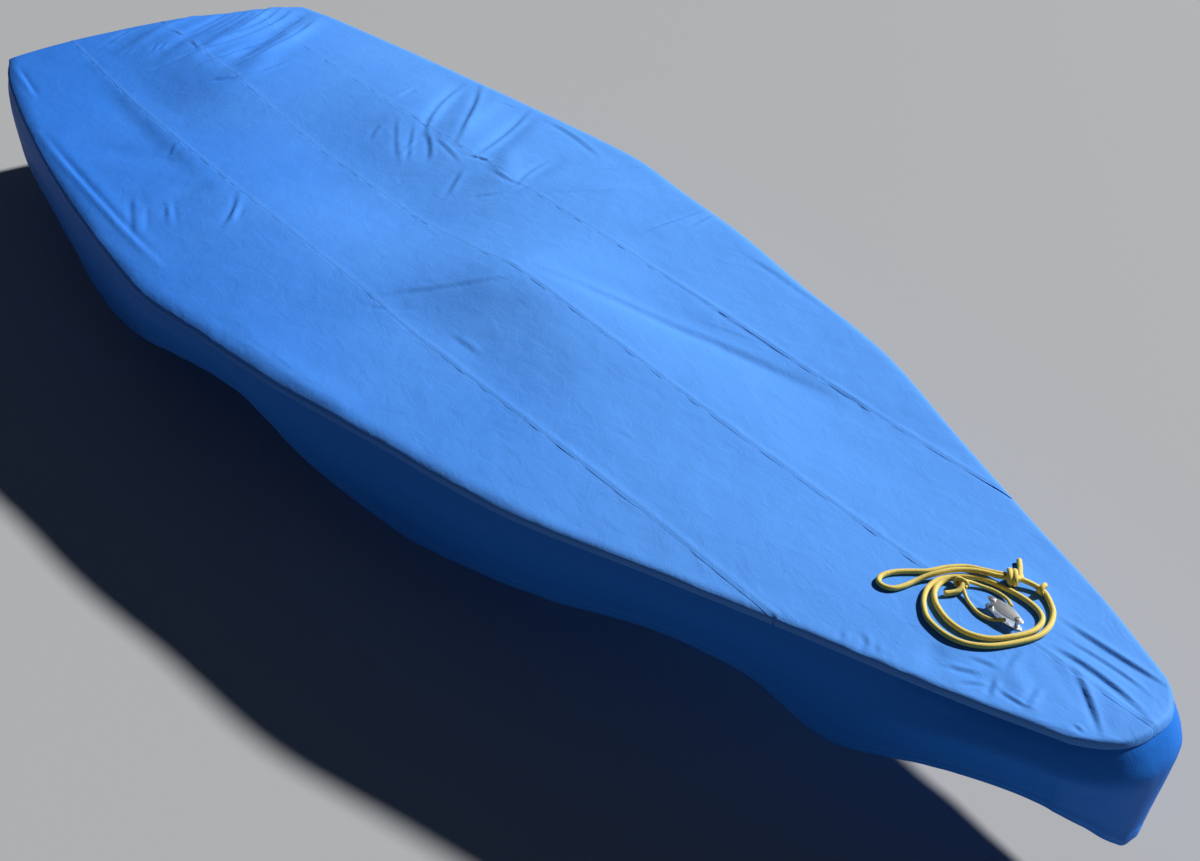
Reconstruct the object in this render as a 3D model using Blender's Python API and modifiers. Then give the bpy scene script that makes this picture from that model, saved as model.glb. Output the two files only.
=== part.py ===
# Fitted cloth cover for a small racing dinghy, shaped as it lies in use.
# A top of four lengthwise panels, a skirt below the gunwale seam, and a bow line coiled on the bow.
# Metres. +X to the bow, +Y to port, +Z up. The origin is under the top amidships, on the centreline.
import math

import bmesh
import bpy
import numpy as np
from mathutils import Vector

COLLECTION_NAME = "boat_cover"

# Driving dimensions
COVER_LENGTH = 4.278      # transom edge to stem, along the centreline
ORIGIN_FROM_TRANSOM = 2.10
CLOTH = 0.002             # cloth with its coating and doubled seams
SEAM_GAP = 0.0006         # between two pieces that are sewn together
NOSE_ROUND = 0.063        # how far the blunt bow is rounded back at its shoulders
NOSE_START = 3.88         # rows of the grid begin to curve with the bow here
TRANSOM_ROUND = 0.018     # rounding of the two stern corners in plan
ROLL_DROP = 0.020         # the top rolls down this far before it meets the skirt

# Sections of the top, from the transom. Heights are above the gunwale amidships: at the edge, at
# MID_SHARE of the half beam on each side, and on the centre seam. roll is the width of the soft edge.
MID_SHARE = 0.45
SECTION_COLUMNS = ("x", "half_beam", "edge", "starboard_mid", "centre", "port_mid", "seam", "roll")
SECTIONS = (
    (0.00, 0.556, 0.043, 0.068, 0.075, 0.066, 0.330, 0.040),
    (0.20, 0.608, 0.031, 0.046, 0.072, 0.064, 0.332, 0.045),
    (0.43, 0.646, 0.020, 0.022, 0.068, 0.058, 0.334, 0.045),
    (0.75, 0.686, 0.011, 0.002, 0.061, 0.048, 0.334, 0.045),
    (1.05, 0.716, 0.003, 0.008, 0.018, 0.042, 0.334, 0.045),
    (1.45, 0.743, 0.000, 0.021, -0.006, 0.038, 0.332, 0.045),
    (1.90, 0.757, 0.000, 0.026, -0.003, 0.031, 0.328, 0.045),
    (2.25, 0.708, 0.001, 0.020, 0.030, 0.026, 0.322, 0.042),
    (2.52, 0.665, 0.003, 0.014, 0.060, 0.022, 0.320, 0.038),
    (2.85, 0.588, 0.004, 0.019, 0.046, 0.016, 0.315, 0.032),
    (3.20, 0.511, 0.007, 0.024, 0.031, 0.012, 0.306, 0.024),
    (3.55, 0.376, 0.010, 0.023, 0.022, 0.013, 0.297, 0.016),
    (3.82, 0.272, 0.013, 0.019, 0.018, 0.016, 0.292, 0.014),
    (4.05, 0.187, 0.016, 0.019, 0.020, 0.019, 0.290, 0.012),
    (4.215, 0.114, 0.017, 0.019, 0.021, 0.019, 0.290, 0.012),
)

# Hem of the skirt: its depth below the top's edge on each side, and how far it tucks in (or, below zero,
# stands out) from straight under that edge.
HEM_COLUMNS = ("x", "starboard", "port", "tuck")
HEM = (
    (0.00, 0.185, 0.195, -0.008),
    (0.45, 0.205, 0.210, -0.006),
    (0.85, 0.220, 0.190, 0.006),
    (1.10, 0.226, 0.170, 0.012),
    (1.25, 0.262, 0.160, 0.015),
    (1.45, 0.264, 0.165, 0.019),
    (1.65, 0.240, 0.195, 0.024),
    (1.82, 0.195, 0.225, 0.026),
    (1.98, 0.146, 0.225, 0.024),
    (2.15, 0.125, 0.205, 0.021),
    (2.32, 0.112, 0.170, 0.018),
    (2.45, 0.140, 0.155, 0.020),
    (2.60, 0.186, 0.150, 0.022),
    (2.90, 0.241, 0.185, 0.026),
    (3.10, 0.215, 0.215, 0.025),
    (3.40, 0.172, 0.215, 0.021),
    (3.58, 0.150, 0.185, 0.018),
    (3.68, 0.160, 0.170, 0.018),
    (3.87, 0.226, 0.185, 0.020),
    (4.03, 0.178, 0.225, 0.012),
    (4.14, 0.153, 0.250, 0.004),
    (4.20, 0.156, 0.265, 0.000),
    (4.250, 0.174, 0.268, -0.002),
    (4.278, 0.236, 0.236, -0.006),
)
TRANSOM_HEM = 0.190
SEAM_TUCK = 0.0032        # the skirt's top edge lies this far inside the top's edge
SEAM_DROP = 0.0019        # and this far below it
SKIRT_BULGE = 0.012       # the skirt swells outwards this much a third of the way down
NOSE_BULGE = 0.024        # more swell where the skirt rounds the bow
BULGE_PEAK = 0.35         # where down the skirt the swell is greatest
SKIRT_JOINS = (0.95, 2.07, 3.05)   # each side skirt is sewn from lengths that meet here
SKIRT_LENGTHS = ("aft", "waist", "fore", "bow")

# Main folds of the top in plan, ridges and (below zero) troughs. They fade out towards their ends.
# Columns: x0, y0, x1, y1 of the two ends, height, half width.
FOLDS = (
    (0.74, 0.02, 0.22, 0.52, 0.018, 0.048),       # ridge from the aft peak to the port quarter
    (0.60, 0.02, 0.11, 0.52, -0.015, 0.040),
    (0.48, -0.06, 0.04, 0.44, 0.014, 0.036),
    (0.36, -0.14, 0.02, 0.28, -0.012, 0.036),
    (0.24, -0.22, 0.02, 0.10, 0.009, 0.034),
    (2.47, 0.05, 2.31, -0.36, 0.016, 0.050),      # crease across from the middle peak
    (2.62, -0.04, 2.50, -0.36, -0.014, 0.070),
    (2.50, 0.10, 3.00, 0.22, -0.012, 0.060),      # soft valley from the peak to the port edge
    (3.00, 0.22, 3.42, 0.28, -0.010, 0.050),
    (1.13, 0.62, 1.44, 0.34, -0.015, 0.045),      # crumples beside the port seam
    (1.30, 0.64, 1.56, 0.36, 0.014, 0.040),
    (1.50, 0.64, 1.72, 0.38, -0.015, 0.042),
    (1.40, 0.30, 1.66, 0.20, -0.010, 0.045),
    (1.74, 0.44, 1.92, 0.30, 0.011, 0.035),
    (1.96, 0.34, 1.88, 0.50, -0.010, 0.035),
    (2.08, 0.42, 2.20, 0.63, 0.006, 0.040),
    (2.42, 0.43, 2.44, 0.60, 0.006, 0.040),
    (0.79, -0.630, 1.95, -0.676, 0.005, 0.030),   # the deck's edge under the starboard side
    (2.30, -0.640, 2.72, -0.590, 0.005, 0.030),
    (0.95, -0.56, 1.25, -0.40, -0.007, 0.050),    # dents outboard of the starboard seam
    (1.42, -0.40, 1.52, -0.52, -0.006, 0.040),
    (4.075, 0.060, 4.235, 0.070, -0.008, 0.018),  # gathers between the coil and the stem
    (4.080, 0.020, 4.250, 0.010, -0.009, 0.016),
    (4.080, -0.012, 4.230, -0.060, -0.007, 0.016),
    (4.060, -0.075, 4.140, -0.115, 0.006, 0.018),
    (3.960, -0.130, 3.990, -0.180, -0.006, 0.022),
)

# Rows of the grid along the cover: a span's far end and how many rows it is cut into.
ROW_SPANS = ((0.045, 3), (0.62, 17), (1.05, 6), (2.00, 17), (2.65, 9), (3.735, 11), (3.745, 1), (3.82, 1),
             (4.215, 10), (4.266, 3), (COVER_LENGTH, 1))
FLAT_CELLS = 5            # cells across a panel before its soft edge
ROLL_SHARES = (0.45, 0.80, 1.0)   # and the places of its cells in that edge
ACROSS_CELLS = FLAT_CELLS + len(ROLL_SHARES)
WIDEST_ROLL = 0.55        # most of a narrow panel's width that its soft edge may take
DOWN_SHARES = (0.0, 0.13, 0.34, 0.68, 1.0)
TRANSOM_CELLS = 18
NARROWEST_PANEL = 0.010   # an outer panel has tapered out on the row where it would be narrower
PANEL_TIP = 0.004         # and ends there in a tip this wide

# Bow line: a limp braided line in a two-turn coil, its bight and free end beside the coil.
LINE_DIAMETER = 0.009
LASHING_DIAMETER = 0.006
REST_GAP = 0.0005         # between the line and the cloth it lies on
COIL_CENTRE = (3.948, 0.003)
COIL_MEAN_RADIUS = 0.0935
COIL_WIDTH = 0.023
COIL_HEIGHT = 0.012
COIL_STEPS = 40
COIL_PROFILE_SIDES = 10
LEVEL_RADIUS = 0.150      # the cloth is level under the coil this far out
LEVEL_FADE = 0.060
LEVEL_HEIGHT = 0.021

# Routes of the line from the transom. Columns: x, y, lift above where the line lies on the cloth.
BIGHT_ROUTE = (
    (3.892, 0.150, 0.005),
    (3.899, 0.139, 0.002),
    (3.906, 0.126, 0.000),
    (3.898, 0.112, 0.000),
    (3.876, 0.098, 0.000),
    (3.852, 0.074, 0.000),
    (3.836, 0.042, 0.000),
    (3.826, 0.006, 0.000),
    (3.814, -0.028, 0.000),
    (3.799, -0.058, 0.000),
    (3.789, -0.082, 0.000),
    (3.792, -0.102, 0.000),
    (3.808, -0.110, 0.000),
    (3.823, -0.101, 0.000),
    (3.831, -0.082, 0.000),
    (3.836, -0.062, 0.000),
    (3.843, -0.038, 0.000),
)
LASHING_ROUTE = (
    (3.992, -0.004, 0.0065),
    (3.975, -0.018, 0.002),
    (3.950, -0.022, 0.000),
    (3.922, -0.014, 0.000),
    (3.900, -0.006, 0.000),
    (3.886, 0.004, 0.000),
    (3.889, 0.020, 0.000),
    (3.906, 0.034, 0.000),
    (3.930, 0.044, 0.000),
    (3.955, 0.042, 0.002),
    (3.975, 0.030, 0.0065),
)
TUBE_POINTS_BIGHT = 44
TUBE_POINTS_LASHING = 30
TUBE_BEVEL = 2

# Two-cheek fitting that the lashing holds.
FITTING_ENDS = ((3.940, 0.010), (4.019, 0.003))
CHEEK_WIDTH = 0.026
CHEEK_THICKNESS = 0.0025
CHEEK_GAP = 0.013
CHEEK_OUTLINE_STEPS = 20
SPACER_RADIUS = 0.004
SPACER_SIDES = 12
SPACER_SHARES = (-0.36, 0.36)
SPACER_SINK = 0.0008      # each spacer reaches this far into both cheeks

COLOURS = {
    "cover_cloth": (0.071, 0.216, 0.745),
    "bow_line": (0.70, 0.58, 0.16),
    "fitting": (0.72, 0.74, 0.75),
}


def smooth_through(xs, ys, x):
    """Value at x of a curve through the table's points that doesn't overshoot them."""
    xs = np.asarray(xs, float)
    ys = np.asarray(ys, float)
    steps = np.diff(xs)
    slopes = np.diff(ys) / steps
    tangents = np.zeros(len(xs))
    tangents[0] = slopes[0]
    tangents[-1] = slopes[-1]
    for i in range(1, len(xs) - 1):
        before, after = slopes[i - 1], slopes[i]
        if before * after > 0:
            wide = 2 * steps[i] + steps[i - 1]
            narrow = steps[i] + 2 * steps[i - 1]
            tangents[i] = (wide + narrow) / (wide / before + narrow / after)
    x = min(max(x, xs[0]), xs[-1])
    i = min(int(np.searchsorted(xs, x, side="right")) - 1, len(xs) - 2)
    i = max(i, 0)
    t = (x - xs[i]) / steps[i]
    rise = ys[i] * (2 * t**3 - 3 * t**2 + 1) + ys[i + 1] * (3 * t**2 - 2 * t**3)
    lean = tangents[i] * (t**3 - 2 * t**2 + t) + tangents[i + 1] * (t**3 - t**2)
    return float(rise + steps[i] * lean)


def column(table, columns, name, x):
    """The named column of a table at x, smoothly between its rows."""
    place = columns.index(name)
    return smooth_through([row[0] for row in table], [row[place] for row in table], x)


def section(name, x):
    return column(SECTIONS, SECTION_COLUMNS, name, x)


def ramp(value, low, high):
    """0 below low, 1 above high, and smooth between."""
    t = min(max((value - low) / (high - low), 0.0), 1.0)
    return t * t * (3 - 2 * t)


def fold_height(x, y):
    """Sum of the ridges and troughs at a place in plan."""
    total = 0.0
    here = Vector((x, y))
    for x0, y0, x1, y1, height, width in FOLDS:
        start = Vector((x0, y0))
        along = Vector((x1, y1)) - start
        share = min(max((here - start).dot(along) / along.length_squared, 0.0), 1.0)
        away = (here - start - along * share).length
        fade = 0.35 + 0.65 * math.sin(math.pi * share)
        total += height * fade * math.exp(-((away / width) ** 2))
    return total


def edge_distance(x, y):
    """Rough distance in plan from a place on the top to the top's edge."""
    share = min(abs(y) / section("half_beam", x), 1.0)
    slant = (section("half_beam", x + 0.01) - section("half_beam", x - 0.01)) / 0.02
    side = (section("half_beam", x) - abs(y)) / math.hypot(1.0, slant)
    nose_share = min(abs(y) / section("half_beam", COVER_LENGTH), 1.0)
    nose = COVER_LENGTH - NOSE_ROUND * nose_share**2.6 - x
    stern = x - TRANSOM_ROUND * share**8
    return max(min(side, nose, stern), 0.0)


def cloth_height(x, y):
    """Height of the top's outer face, above the gunwale amidships."""
    half_beam = section("half_beam", x)
    share = min(max(y / half_beam, -1.0), 1.0)
    shares = (-1.0, -MID_SHARE, 0.0, MID_SHARE, 1.0)
    names = ("edge", "starboard_mid", "centre", "port_mid", "edge")
    smooth = smooth_through(shares, [section(name, x) for name in names], share)
    inside = ramp(edge_distance(x, y), 0.0, 0.03)
    height = smooth + inside * fold_height(x, y)
    out = math.hypot(x - COIL_CENTRE[0], y - COIL_CENTRE[1])
    level = 1.0 - ramp(out, LEVEL_RADIUS - LEVEL_FADE, LEVEL_RADIUS)
    height += level * (LEVEL_HEIGHT - height)
    roll = max(1.0 - edge_distance(x, y) / section("roll", x), 0.0)
    deep = ROLL_DROP * min(section("roll", x) / 0.04, 1.0)
    return height - deep * (1.0 - math.sqrt(1.0 - (0.96 * roll) ** 2))


ORIGIN_HEIGHT = cloth_height(ORIGIN_FROM_TRANSOM, 0.0) - CLOTH


def placed(x, y, z):
    """A point given from the transom and the gunwale, in the part's own frame."""
    return Vector((x - ORIGIN_FROM_TRANSOM, y, z - ORIGIN_HEIGHT))


def row_places():
    """Distances from the transom of the grid's rows, on the centreline."""
    places = [0.0]
    for end, cells in ROW_SPANS:
        start = places[-1]
        places += [start + (end - start) * (i + 1) / cells for i in range(cells)]
    return places


ROWS = row_places()


def row_point(row, share):
    """Plan position at a share of the half beam, on a row that curves with the bow and the stern."""
    bow = ramp(row, NOSE_START, COVER_LENGTH)
    stern = 1.0 - ramp(row, 0.0, 0.25)
    half_beam = section("half_beam", row - bow * NOSE_ROUND)
    x = row - bow * NOSE_ROUND * abs(share) ** 2.6 + stern * TRANSOM_ROUND * abs(share) ** 8
    return x, share * half_beam


TIP_ROW = next(row for row in ROWS if row_point(row, 1.0)[1] - section("seam", row) < NARROWEST_PANEL)


def across_shares(width, roll):
    """Shares of a panel's width where its grid has vertices, closer together in a soft edge."""
    roll_share = min(roll / width, WIDEST_ROLL)
    flat = [(1.0 - roll_share) * i / FLAT_CELLS for i in range(FLAT_CELLS + 1)]
    return flat + [1.0 - roll_share * (1.0 - share) for share in ROLL_SHARES]


def even_shares():
    return [i / ACROSS_CELLS for i in range(ACROSS_CELLS + 1)]


def seam_share(row):
    """Share of the half beam at which the side seam crosses a row, or 1 where it has run off the edge."""
    edge = row_point(row, 1.0)[1]
    if row > TIP_ROW:
        return 1.0
    if row == TIP_ROW:
        return 1.0 - PANEL_TIP / edge
    return section("seam", row) / edge


def new_piece(name, mesh, colour, collection):
    piece = bpy.data.objects.new(name, mesh)
    collection.objects.link(piece)
    material = bpy.data.materials.new(name)
    material.use_nodes = True
    shader = material.node_tree.nodes["Principled BSDF"]
    shader.inputs["Base Color"].default_value = (*COLOURS[colour], 1.0)
    shader.inputs["Roughness"].default_value = 0.25 if colour == "fitting" else 0.75
    shader.inputs["Metallic"].default_value = 1.0 if colour == "fitting" else 0.0
    mesh.materials.clear()
    mesh.materials.append(material)
    return piece


def cloth_sheet(name, rows, columns, place, flip, collection):
    """A grid of rows by columns, moved into shape by place(row, column), with the cloth's thickness."""
    grid = bmesh.new()
    bmesh.ops.create_grid(grid, x_segments=columns, y_segments=rows, size=1.0)
    for vert in grid.verts:
        row = round((vert.co.y + 1.0) / 2.0 * rows)
        across = round((vert.co.x + 1.0) / 2.0 * columns)
        vert.co = place(row, across)
    for face in grid.faces:
        face.smooth = True
    if flip:
        bmesh.ops.reverse_faces(grid, faces=grid.faces)
    for edge in grid.edges:
        edge.smooth = not edge.is_boundary
    mesh = bpy.data.meshes.new(name)
    grid.to_mesh(mesh)
    grid.free()
    piece = new_piece(name, mesh, "cover_cloth", collection)
    thick = piece.modifiers.new("cloth", "SOLIDIFY")
    thick.thickness = CLOTH
    thick.offset = -1.0
    return piece


def inner_shares(row):
    """Across an inner panel: even beside the outer panel, with a soft edge where it meets the gunwale."""
    if seam_share(row) < 1.0:
        return even_shares()
    return across_shares(row_point(row, 1.0)[1], section("roll", row))


def top_inner(side, name, collection):
    """Panel from the centre seam to the side seam, and to the gunwale where that seam has run off."""
    def place(row, across):
        far = seam_share(ROWS[row])
        share = inner_shares(ROWS[row])[across]
        x, y = row_point(ROWS[row], far * share)
        squeeze = (share * (far < 1.0) - (1.0 - share)) * SEAM_GAP / 2
        y = y - squeeze
        return placed(x, side * y, cloth_height(x, side * y))

    return cloth_sheet(name, len(ROWS) - 1, ACROSS_CELLS, place, side > 0, collection)


def top_outer(side, name, collection):
    """Panel from the side seam to the gunwale, tapering out where the seam reaches it."""
    rows = [row for row in ROWS if seam_share(row) < 1.0]

    def place(row, across):
        near = seam_share(rows[row])
        width = row_point(rows[row], 1.0 - near)[1]
        share = across_shares(width, section("roll", rows[row]))[across]
        x, y = row_point(rows[row], near + (1.0 - near) * share)
        y = y + (1.0 - share) * SEAM_GAP / 2
        return placed(x, side * y, cloth_height(x, side * y))

    return cloth_sheet(name, len(rows) - 1, ACROSS_CELLS, place, side > 0, collection)


def edge_path(side):
    """Places along the top's edge from the stern corner to the stem, as x, y and the outward direction."""
    places = [row_point(row, 1.0) for row in ROWS]
    places += [row_point(COVER_LENGTH, share) for share in reversed(inner_shares(COVER_LENGTH)[:-1])]
    places = [Vector((x, side * y)) for x, y in places]
    path = []
    for i, here in enumerate(places):
        along = places[min(i + 1, len(places) - 1)] - places[max(i - 1, 0)]
        outward = Vector((along.y, -along.x)).normalized() * -side
        path.append((here, outward))
    stem, _ = path[-1]
    path[-1] = (Vector((stem.x, side * SEAM_GAP / 2)), Vector((1.0, 0.0)))
    return path


def skirt_swell(share, bulge, tuck):
    """How far outside the top's edge the skirt hangs at a share of its depth, tucked in at its seam."""
    seam = SEAM_TUCK if share == 0.0 else 0.0
    swell = bulge * math.sin(math.pi * share ** (math.log(0.5) / math.log(BULGE_PEAK)))
    return swell - tuck * share**1.5 - seam


def skirt_top(x, y):
    """Height at which the skirt starts, just below the rolled edge of the top."""
    return cloth_height(x, y) - SEAM_DROP


def skirt_ends(path):
    """First and last place on the path of each length of a side skirt."""
    joins = [min(range(len(path)), key=lambda i: abs(path[i][0].x - join)) for join in SKIRT_JOINS]
    ends = [0] + joins + [len(path) - 1]
    return list(zip(ends, ends[1:]))


def skirt_side(side, name, hem, collection):
    """The skirt of one side, a sheet for each of its lengths."""
    path = edge_path(side)

    def skirt_point(here, outward, share, along):
        near_nose = ramp(here.x, 3.95, 4.25)
        bulge = SKIRT_BULGE + near_nose * (NOSE_BULGE - SKIRT_BULGE)
        depth = column(HEM, HEM_COLUMNS, hem, here.x)
        out = skirt_swell(share, bulge, column(HEM, HEM_COLUMNS, "tuck", here.x))
        stern = 1.0 - ramp(here.x, 0.0, 0.12)
        x = here.x + outward.x * out - stern * skirt_swell(share, SKIRT_BULGE, HEM[0][3])
        y = here.y + outward.y * out
        x, y = x + along * side * outward.y, y - along * side * outward.x
        return placed(x, y, skirt_top(here.x, here.y) - depth * share)

    for length, (first, last) in zip(SKIRT_LENGTHS, skirt_ends(path)):
        def place(row, down, first=first, last=last):
            at = first + row
            joined = (at == first and first > 0) - (at == last and last < len(path) - 1)
            return skirt_point(*path[at], DOWN_SHARES[down], joined * SEAM_GAP / 2)

        cloth_sheet(name + "_" + length, last - first, len(DOWN_SHARES) - 1, place, side > 0, collection)


def skirt_transom(name, collection):
    half = section("half_beam", 0.0) - CLOTH - SEAM_GAP

    def place(row, down):
        share = DOWN_SHARES[down]
        swell = skirt_swell(share, SKIRT_BULGE, HEM[0][3])
        across = -1.0 + 2.0 * row / TRANSOM_CELLS
        y = across * (half + swell)
        x = TRANSOM_ROUND * abs(across) ** 8 - swell
        depth = TRANSOM_HEM + (HEM[0][2] - HEM[0][1]) / 2 * across
        return placed(x, y, skirt_top(0.0, across * half) - depth * share)

    return cloth_sheet(name, TRANSOM_CELLS, len(DOWN_SHARES) - 1, place, True, collection)


def smooth_route(route, count):
    """Evenly spaced points on a smooth curve through the route's own points."""
    points = [Vector(point) for point in route]
    points = [points[0] * 2 - points[1]] + points + [points[-1] * 2 - points[-2]]
    fine = []
    for before, start, end, after in zip(points, points[1:], points[2:], points[3:]):
        for step in range(24):
            t = step / 24
            fine.append(0.5 * (2 * start + (end - before) * t
                               + (2 * before - 5 * start + 4 * end - after) * t**2
                               + (3 * start - before - 3 * end + after) * t**3))
    fine.append(points[-2])
    run = [0.0]
    for start, end in zip(fine, fine[1:]):
        run.append(run[-1] + (end - start).length)
    wanted = np.linspace(0.0, run[-1], count)
    return [Vector(np.interp(length, run, [p[axis] for p in fine]) for axis in range(3)) for length in wanted]


def line_tube(name, route, diameter, count, collection):
    """A round tube along a route that lies on the cloth, as one closed mesh."""
    curve = bpy.data.curves.new(name, "CURVE")
    curve.dimensions = "3D"
    curve.bevel_depth = diameter / 2
    curve.bevel_resolution = TUBE_BEVEL
    curve.use_fill_caps = True
    points = smooth_route(route, count)
    spline = curve.splines.new("POLY")
    spline.points.add(len(points) - 1)
    for target, (x, y, lift) in zip(spline.points, points):
        lying = cloth_height(x, y) + REST_GAP + diameter / 2 + lift
        target.co = (*placed(x, y, lying), 1.0)
    tube = bpy.data.objects.new(name + "_curve", curve)
    collection.objects.link(tube)
    evaluated = tube.evaluated_get(bpy.context.evaluated_depsgraph_get())
    mesh = bpy.data.meshes.new_from_object(evaluated)
    mesh.name = name
    bpy.data.objects.remove(tube)
    welded = bmesh.new()
    welded.from_mesh(mesh)
    bmesh.ops.remove_doubles(welded, verts=welded.verts, dist=0.00001)
    welded.to_mesh(mesh)
    welded.free()
    mesh.shade_smooth()
    return new_piece(name, mesh, "bow_line", collection)


def line_coil(name, collection):
    """The coil's outer shape: a ring turned from an oval profile."""
    profile = bmesh.new()
    verts = []
    for i in range(COIL_PROFILE_SIDES):
        angle = -2 * math.pi * i / COIL_PROFILE_SIDES
        across = math.copysign(abs(math.cos(angle)) ** 0.7, math.cos(angle)) * COIL_WIDTH / 2
        up = math.copysign(abs(math.sin(angle)) ** 0.7, math.sin(angle)) * COIL_HEIGHT / 2
        verts.append(profile.verts.new((COIL_MEAN_RADIUS + across, 0.0, up)))
    for start, end in zip(verts, verts[1:] + verts[:1]):
        profile.edges.new((start, end))
    mesh = bpy.data.meshes.new(name)
    profile.to_mesh(mesh)
    profile.free()
    ring = new_piece(name, mesh, "bow_line", collection)
    turn = ring.modifiers.new("turn", "SCREW")
    turn.steps = COIL_STEPS
    turn.render_steps = COIL_STEPS
    turn.use_merge_vertices = True
    turn.merge_threshold = 0.0001
    turn.use_smooth_shade = True
    rest = LEVEL_HEIGHT + REST_GAP + COIL_HEIGHT / 2
    ring.location = placed(*COIL_CENTRE, rest)
    return ring


def cheek_outline(share):
    """Half width of a cheek at a share of its half length, full in the middle and blunt at the ends."""
    return CHEEK_WIDTH / 2 * (0.30 + 0.70 * math.cos(math.pi / 2 * abs(share)) ** 1.2)


def fitting_cheek(name, collection):
    """One flat cheek, its outline filled and given a thickness."""
    start, end = (Vector(point) for point in FITTING_ENDS)
    half_length = (end - start).length / 2
    flat = bpy.data.curves.new(name, "CURVE")
    flat.dimensions = "2D"
    flat.fill_mode = "BOTH"
    flat.extrude = CHEEK_THICKNESS / 2
    shares = [-1.0 + 2.0 * i / CHEEK_OUTLINE_STEPS for i in range(CHEEK_OUTLINE_STEPS + 1)]
    outline = [(share * half_length, -cheek_outline(share)) for share in shares]
    outline += [(share * half_length, cheek_outline(share)) for share in reversed(shares)]
    spline = flat.splines.new("POLY")
    spline.points.add(len(outline) - 1)
    for target, (x, y) in zip(spline.points, outline):
        target.co = (x, y, 0.0, 1.0)
    spline.use_cyclic_u = True
    guide = bpy.data.objects.new(name, flat)
    collection.objects.link(guide)
    evaluated = guide.evaluated_get(bpy.context.evaluated_depsgraph_get())
    mesh = bpy.data.meshes.new_from_object(evaluated)
    bpy.data.objects.remove(guide)
    return mesh, half_length


def line_fitting(name, collection):
    """Two cheeks held apart by two spacers, joined into one solid."""
    start, end = (Vector(point) for point in FITTING_ENDS)
    middle = (start + end) / 2
    along = end - start
    cheek, half_length = fitting_cheek(name, collection)
    lower = LEVEL_HEIGHT + REST_GAP + CHEEK_THICKNESS / 2
    whole = bmesh.new()
    for level in (0.0, CHEEK_GAP + CHEEK_THICKNESS):
        fresh = bmesh.new()
        fresh.from_mesh(cheek)
        bmesh.ops.remove_doubles(fresh, verts=fresh.verts, dist=0.00001)
        bmesh.ops.translate(fresh, verts=fresh.verts, vec=(0.0, 0.0, level))
        bmesh.ops.recalc_face_normals(fresh, faces=fresh.faces)
        moved = bpy.data.meshes.new("cheek")
        fresh.to_mesh(moved)
        fresh.free()
        whole.from_mesh(moved)
        bpy.data.meshes.remove(moved)
    mesh = bpy.data.meshes.new(name)
    whole.to_mesh(mesh)
    whole.free()
    bpy.data.meshes.remove(cheek)
    body = new_piece(name, mesh, "fitting", collection)
    body.rotation_euler.z = math.atan2(along.y, along.x)
    body.location = placed(middle.x, middle.y, lower)
    cutters = bpy.data.collections.new("joiners")
    bpy.context.scene.collection.children.link(cutters)
    for share in SPACER_SHARES:
        spacer = bmesh.new()
        depth = CHEEK_GAP + 2 * SPACER_SINK
        bmesh.ops.create_cone(spacer, cap_ends=True, segments=SPACER_SIDES, radius1=SPACER_RADIUS,
                              radius2=SPACER_RADIUS, depth=depth)
        centre = (share * 2 * half_length, 0.0, (CHEEK_GAP + CHEEK_THICKNESS) / 2)
        bmesh.ops.translate(spacer, verts=spacer.verts, vec=centre)
        spacer_mesh = bpy.data.meshes.new("spacer")
        spacer.to_mesh(spacer_mesh)
        spacer.free()
        joiner = bpy.data.objects.new("spacer", spacer_mesh)
        joiner.rotation_euler = body.rotation_euler
        joiner.location = body.location
        joiner.hide_render = True
        joiner.display_type = "WIRE"
        cutters.objects.link(joiner)
        union = body.modifiers.new("spacer", "BOOLEAN")
        union.operation = "UNION"
        union.solver = "EXACT"
        union.object = joiner
    return body


def clear_scene():
    for old in list(bpy.data.objects):
        bpy.data.objects.remove(old)


def build():
    clear_scene()
    collection = bpy.data.collections.new(COLLECTION_NAME)
    bpy.context.scene.collection.children.link(collection)
    for side, word in ((-1, "starboard"), (1, "port")):
        top_inner(side, "top_inner_" + word, collection)
        top_outer(side, "top_outer_" + word, collection)
        skirt_side(side, "skirt_" + word, word, collection)
    skirt_transom("skirt_transom", collection)
    line_coil("bow_line_coil", collection)
    line_tube("bow_line_bight", BIGHT_ROUTE, LINE_DIAMETER, TUBE_POINTS_BIGHT, collection)
    line_tube("bow_line_lashing", LASHING_ROUTE, LASHING_DIAMETER, TUBE_POINTS_LASHING, collection)
    line_fitting("bow_line_fitting", collection)


build()
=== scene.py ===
import math
import bpy
import numpy as np
from mathutils import Matrix, Vector


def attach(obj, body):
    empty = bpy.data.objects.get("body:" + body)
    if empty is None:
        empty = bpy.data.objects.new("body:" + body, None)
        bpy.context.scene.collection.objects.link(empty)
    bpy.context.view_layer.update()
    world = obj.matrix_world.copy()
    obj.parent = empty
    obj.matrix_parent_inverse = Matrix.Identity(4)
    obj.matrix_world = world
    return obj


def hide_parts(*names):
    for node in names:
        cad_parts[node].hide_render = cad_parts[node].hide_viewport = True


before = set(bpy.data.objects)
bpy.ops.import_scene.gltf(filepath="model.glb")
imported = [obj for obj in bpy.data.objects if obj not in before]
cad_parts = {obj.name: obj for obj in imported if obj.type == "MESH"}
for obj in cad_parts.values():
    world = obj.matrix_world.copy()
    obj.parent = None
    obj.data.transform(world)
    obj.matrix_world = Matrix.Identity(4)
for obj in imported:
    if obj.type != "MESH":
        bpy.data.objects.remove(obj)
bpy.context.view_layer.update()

print("frame loaded:", len(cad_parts), "nodes")

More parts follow.
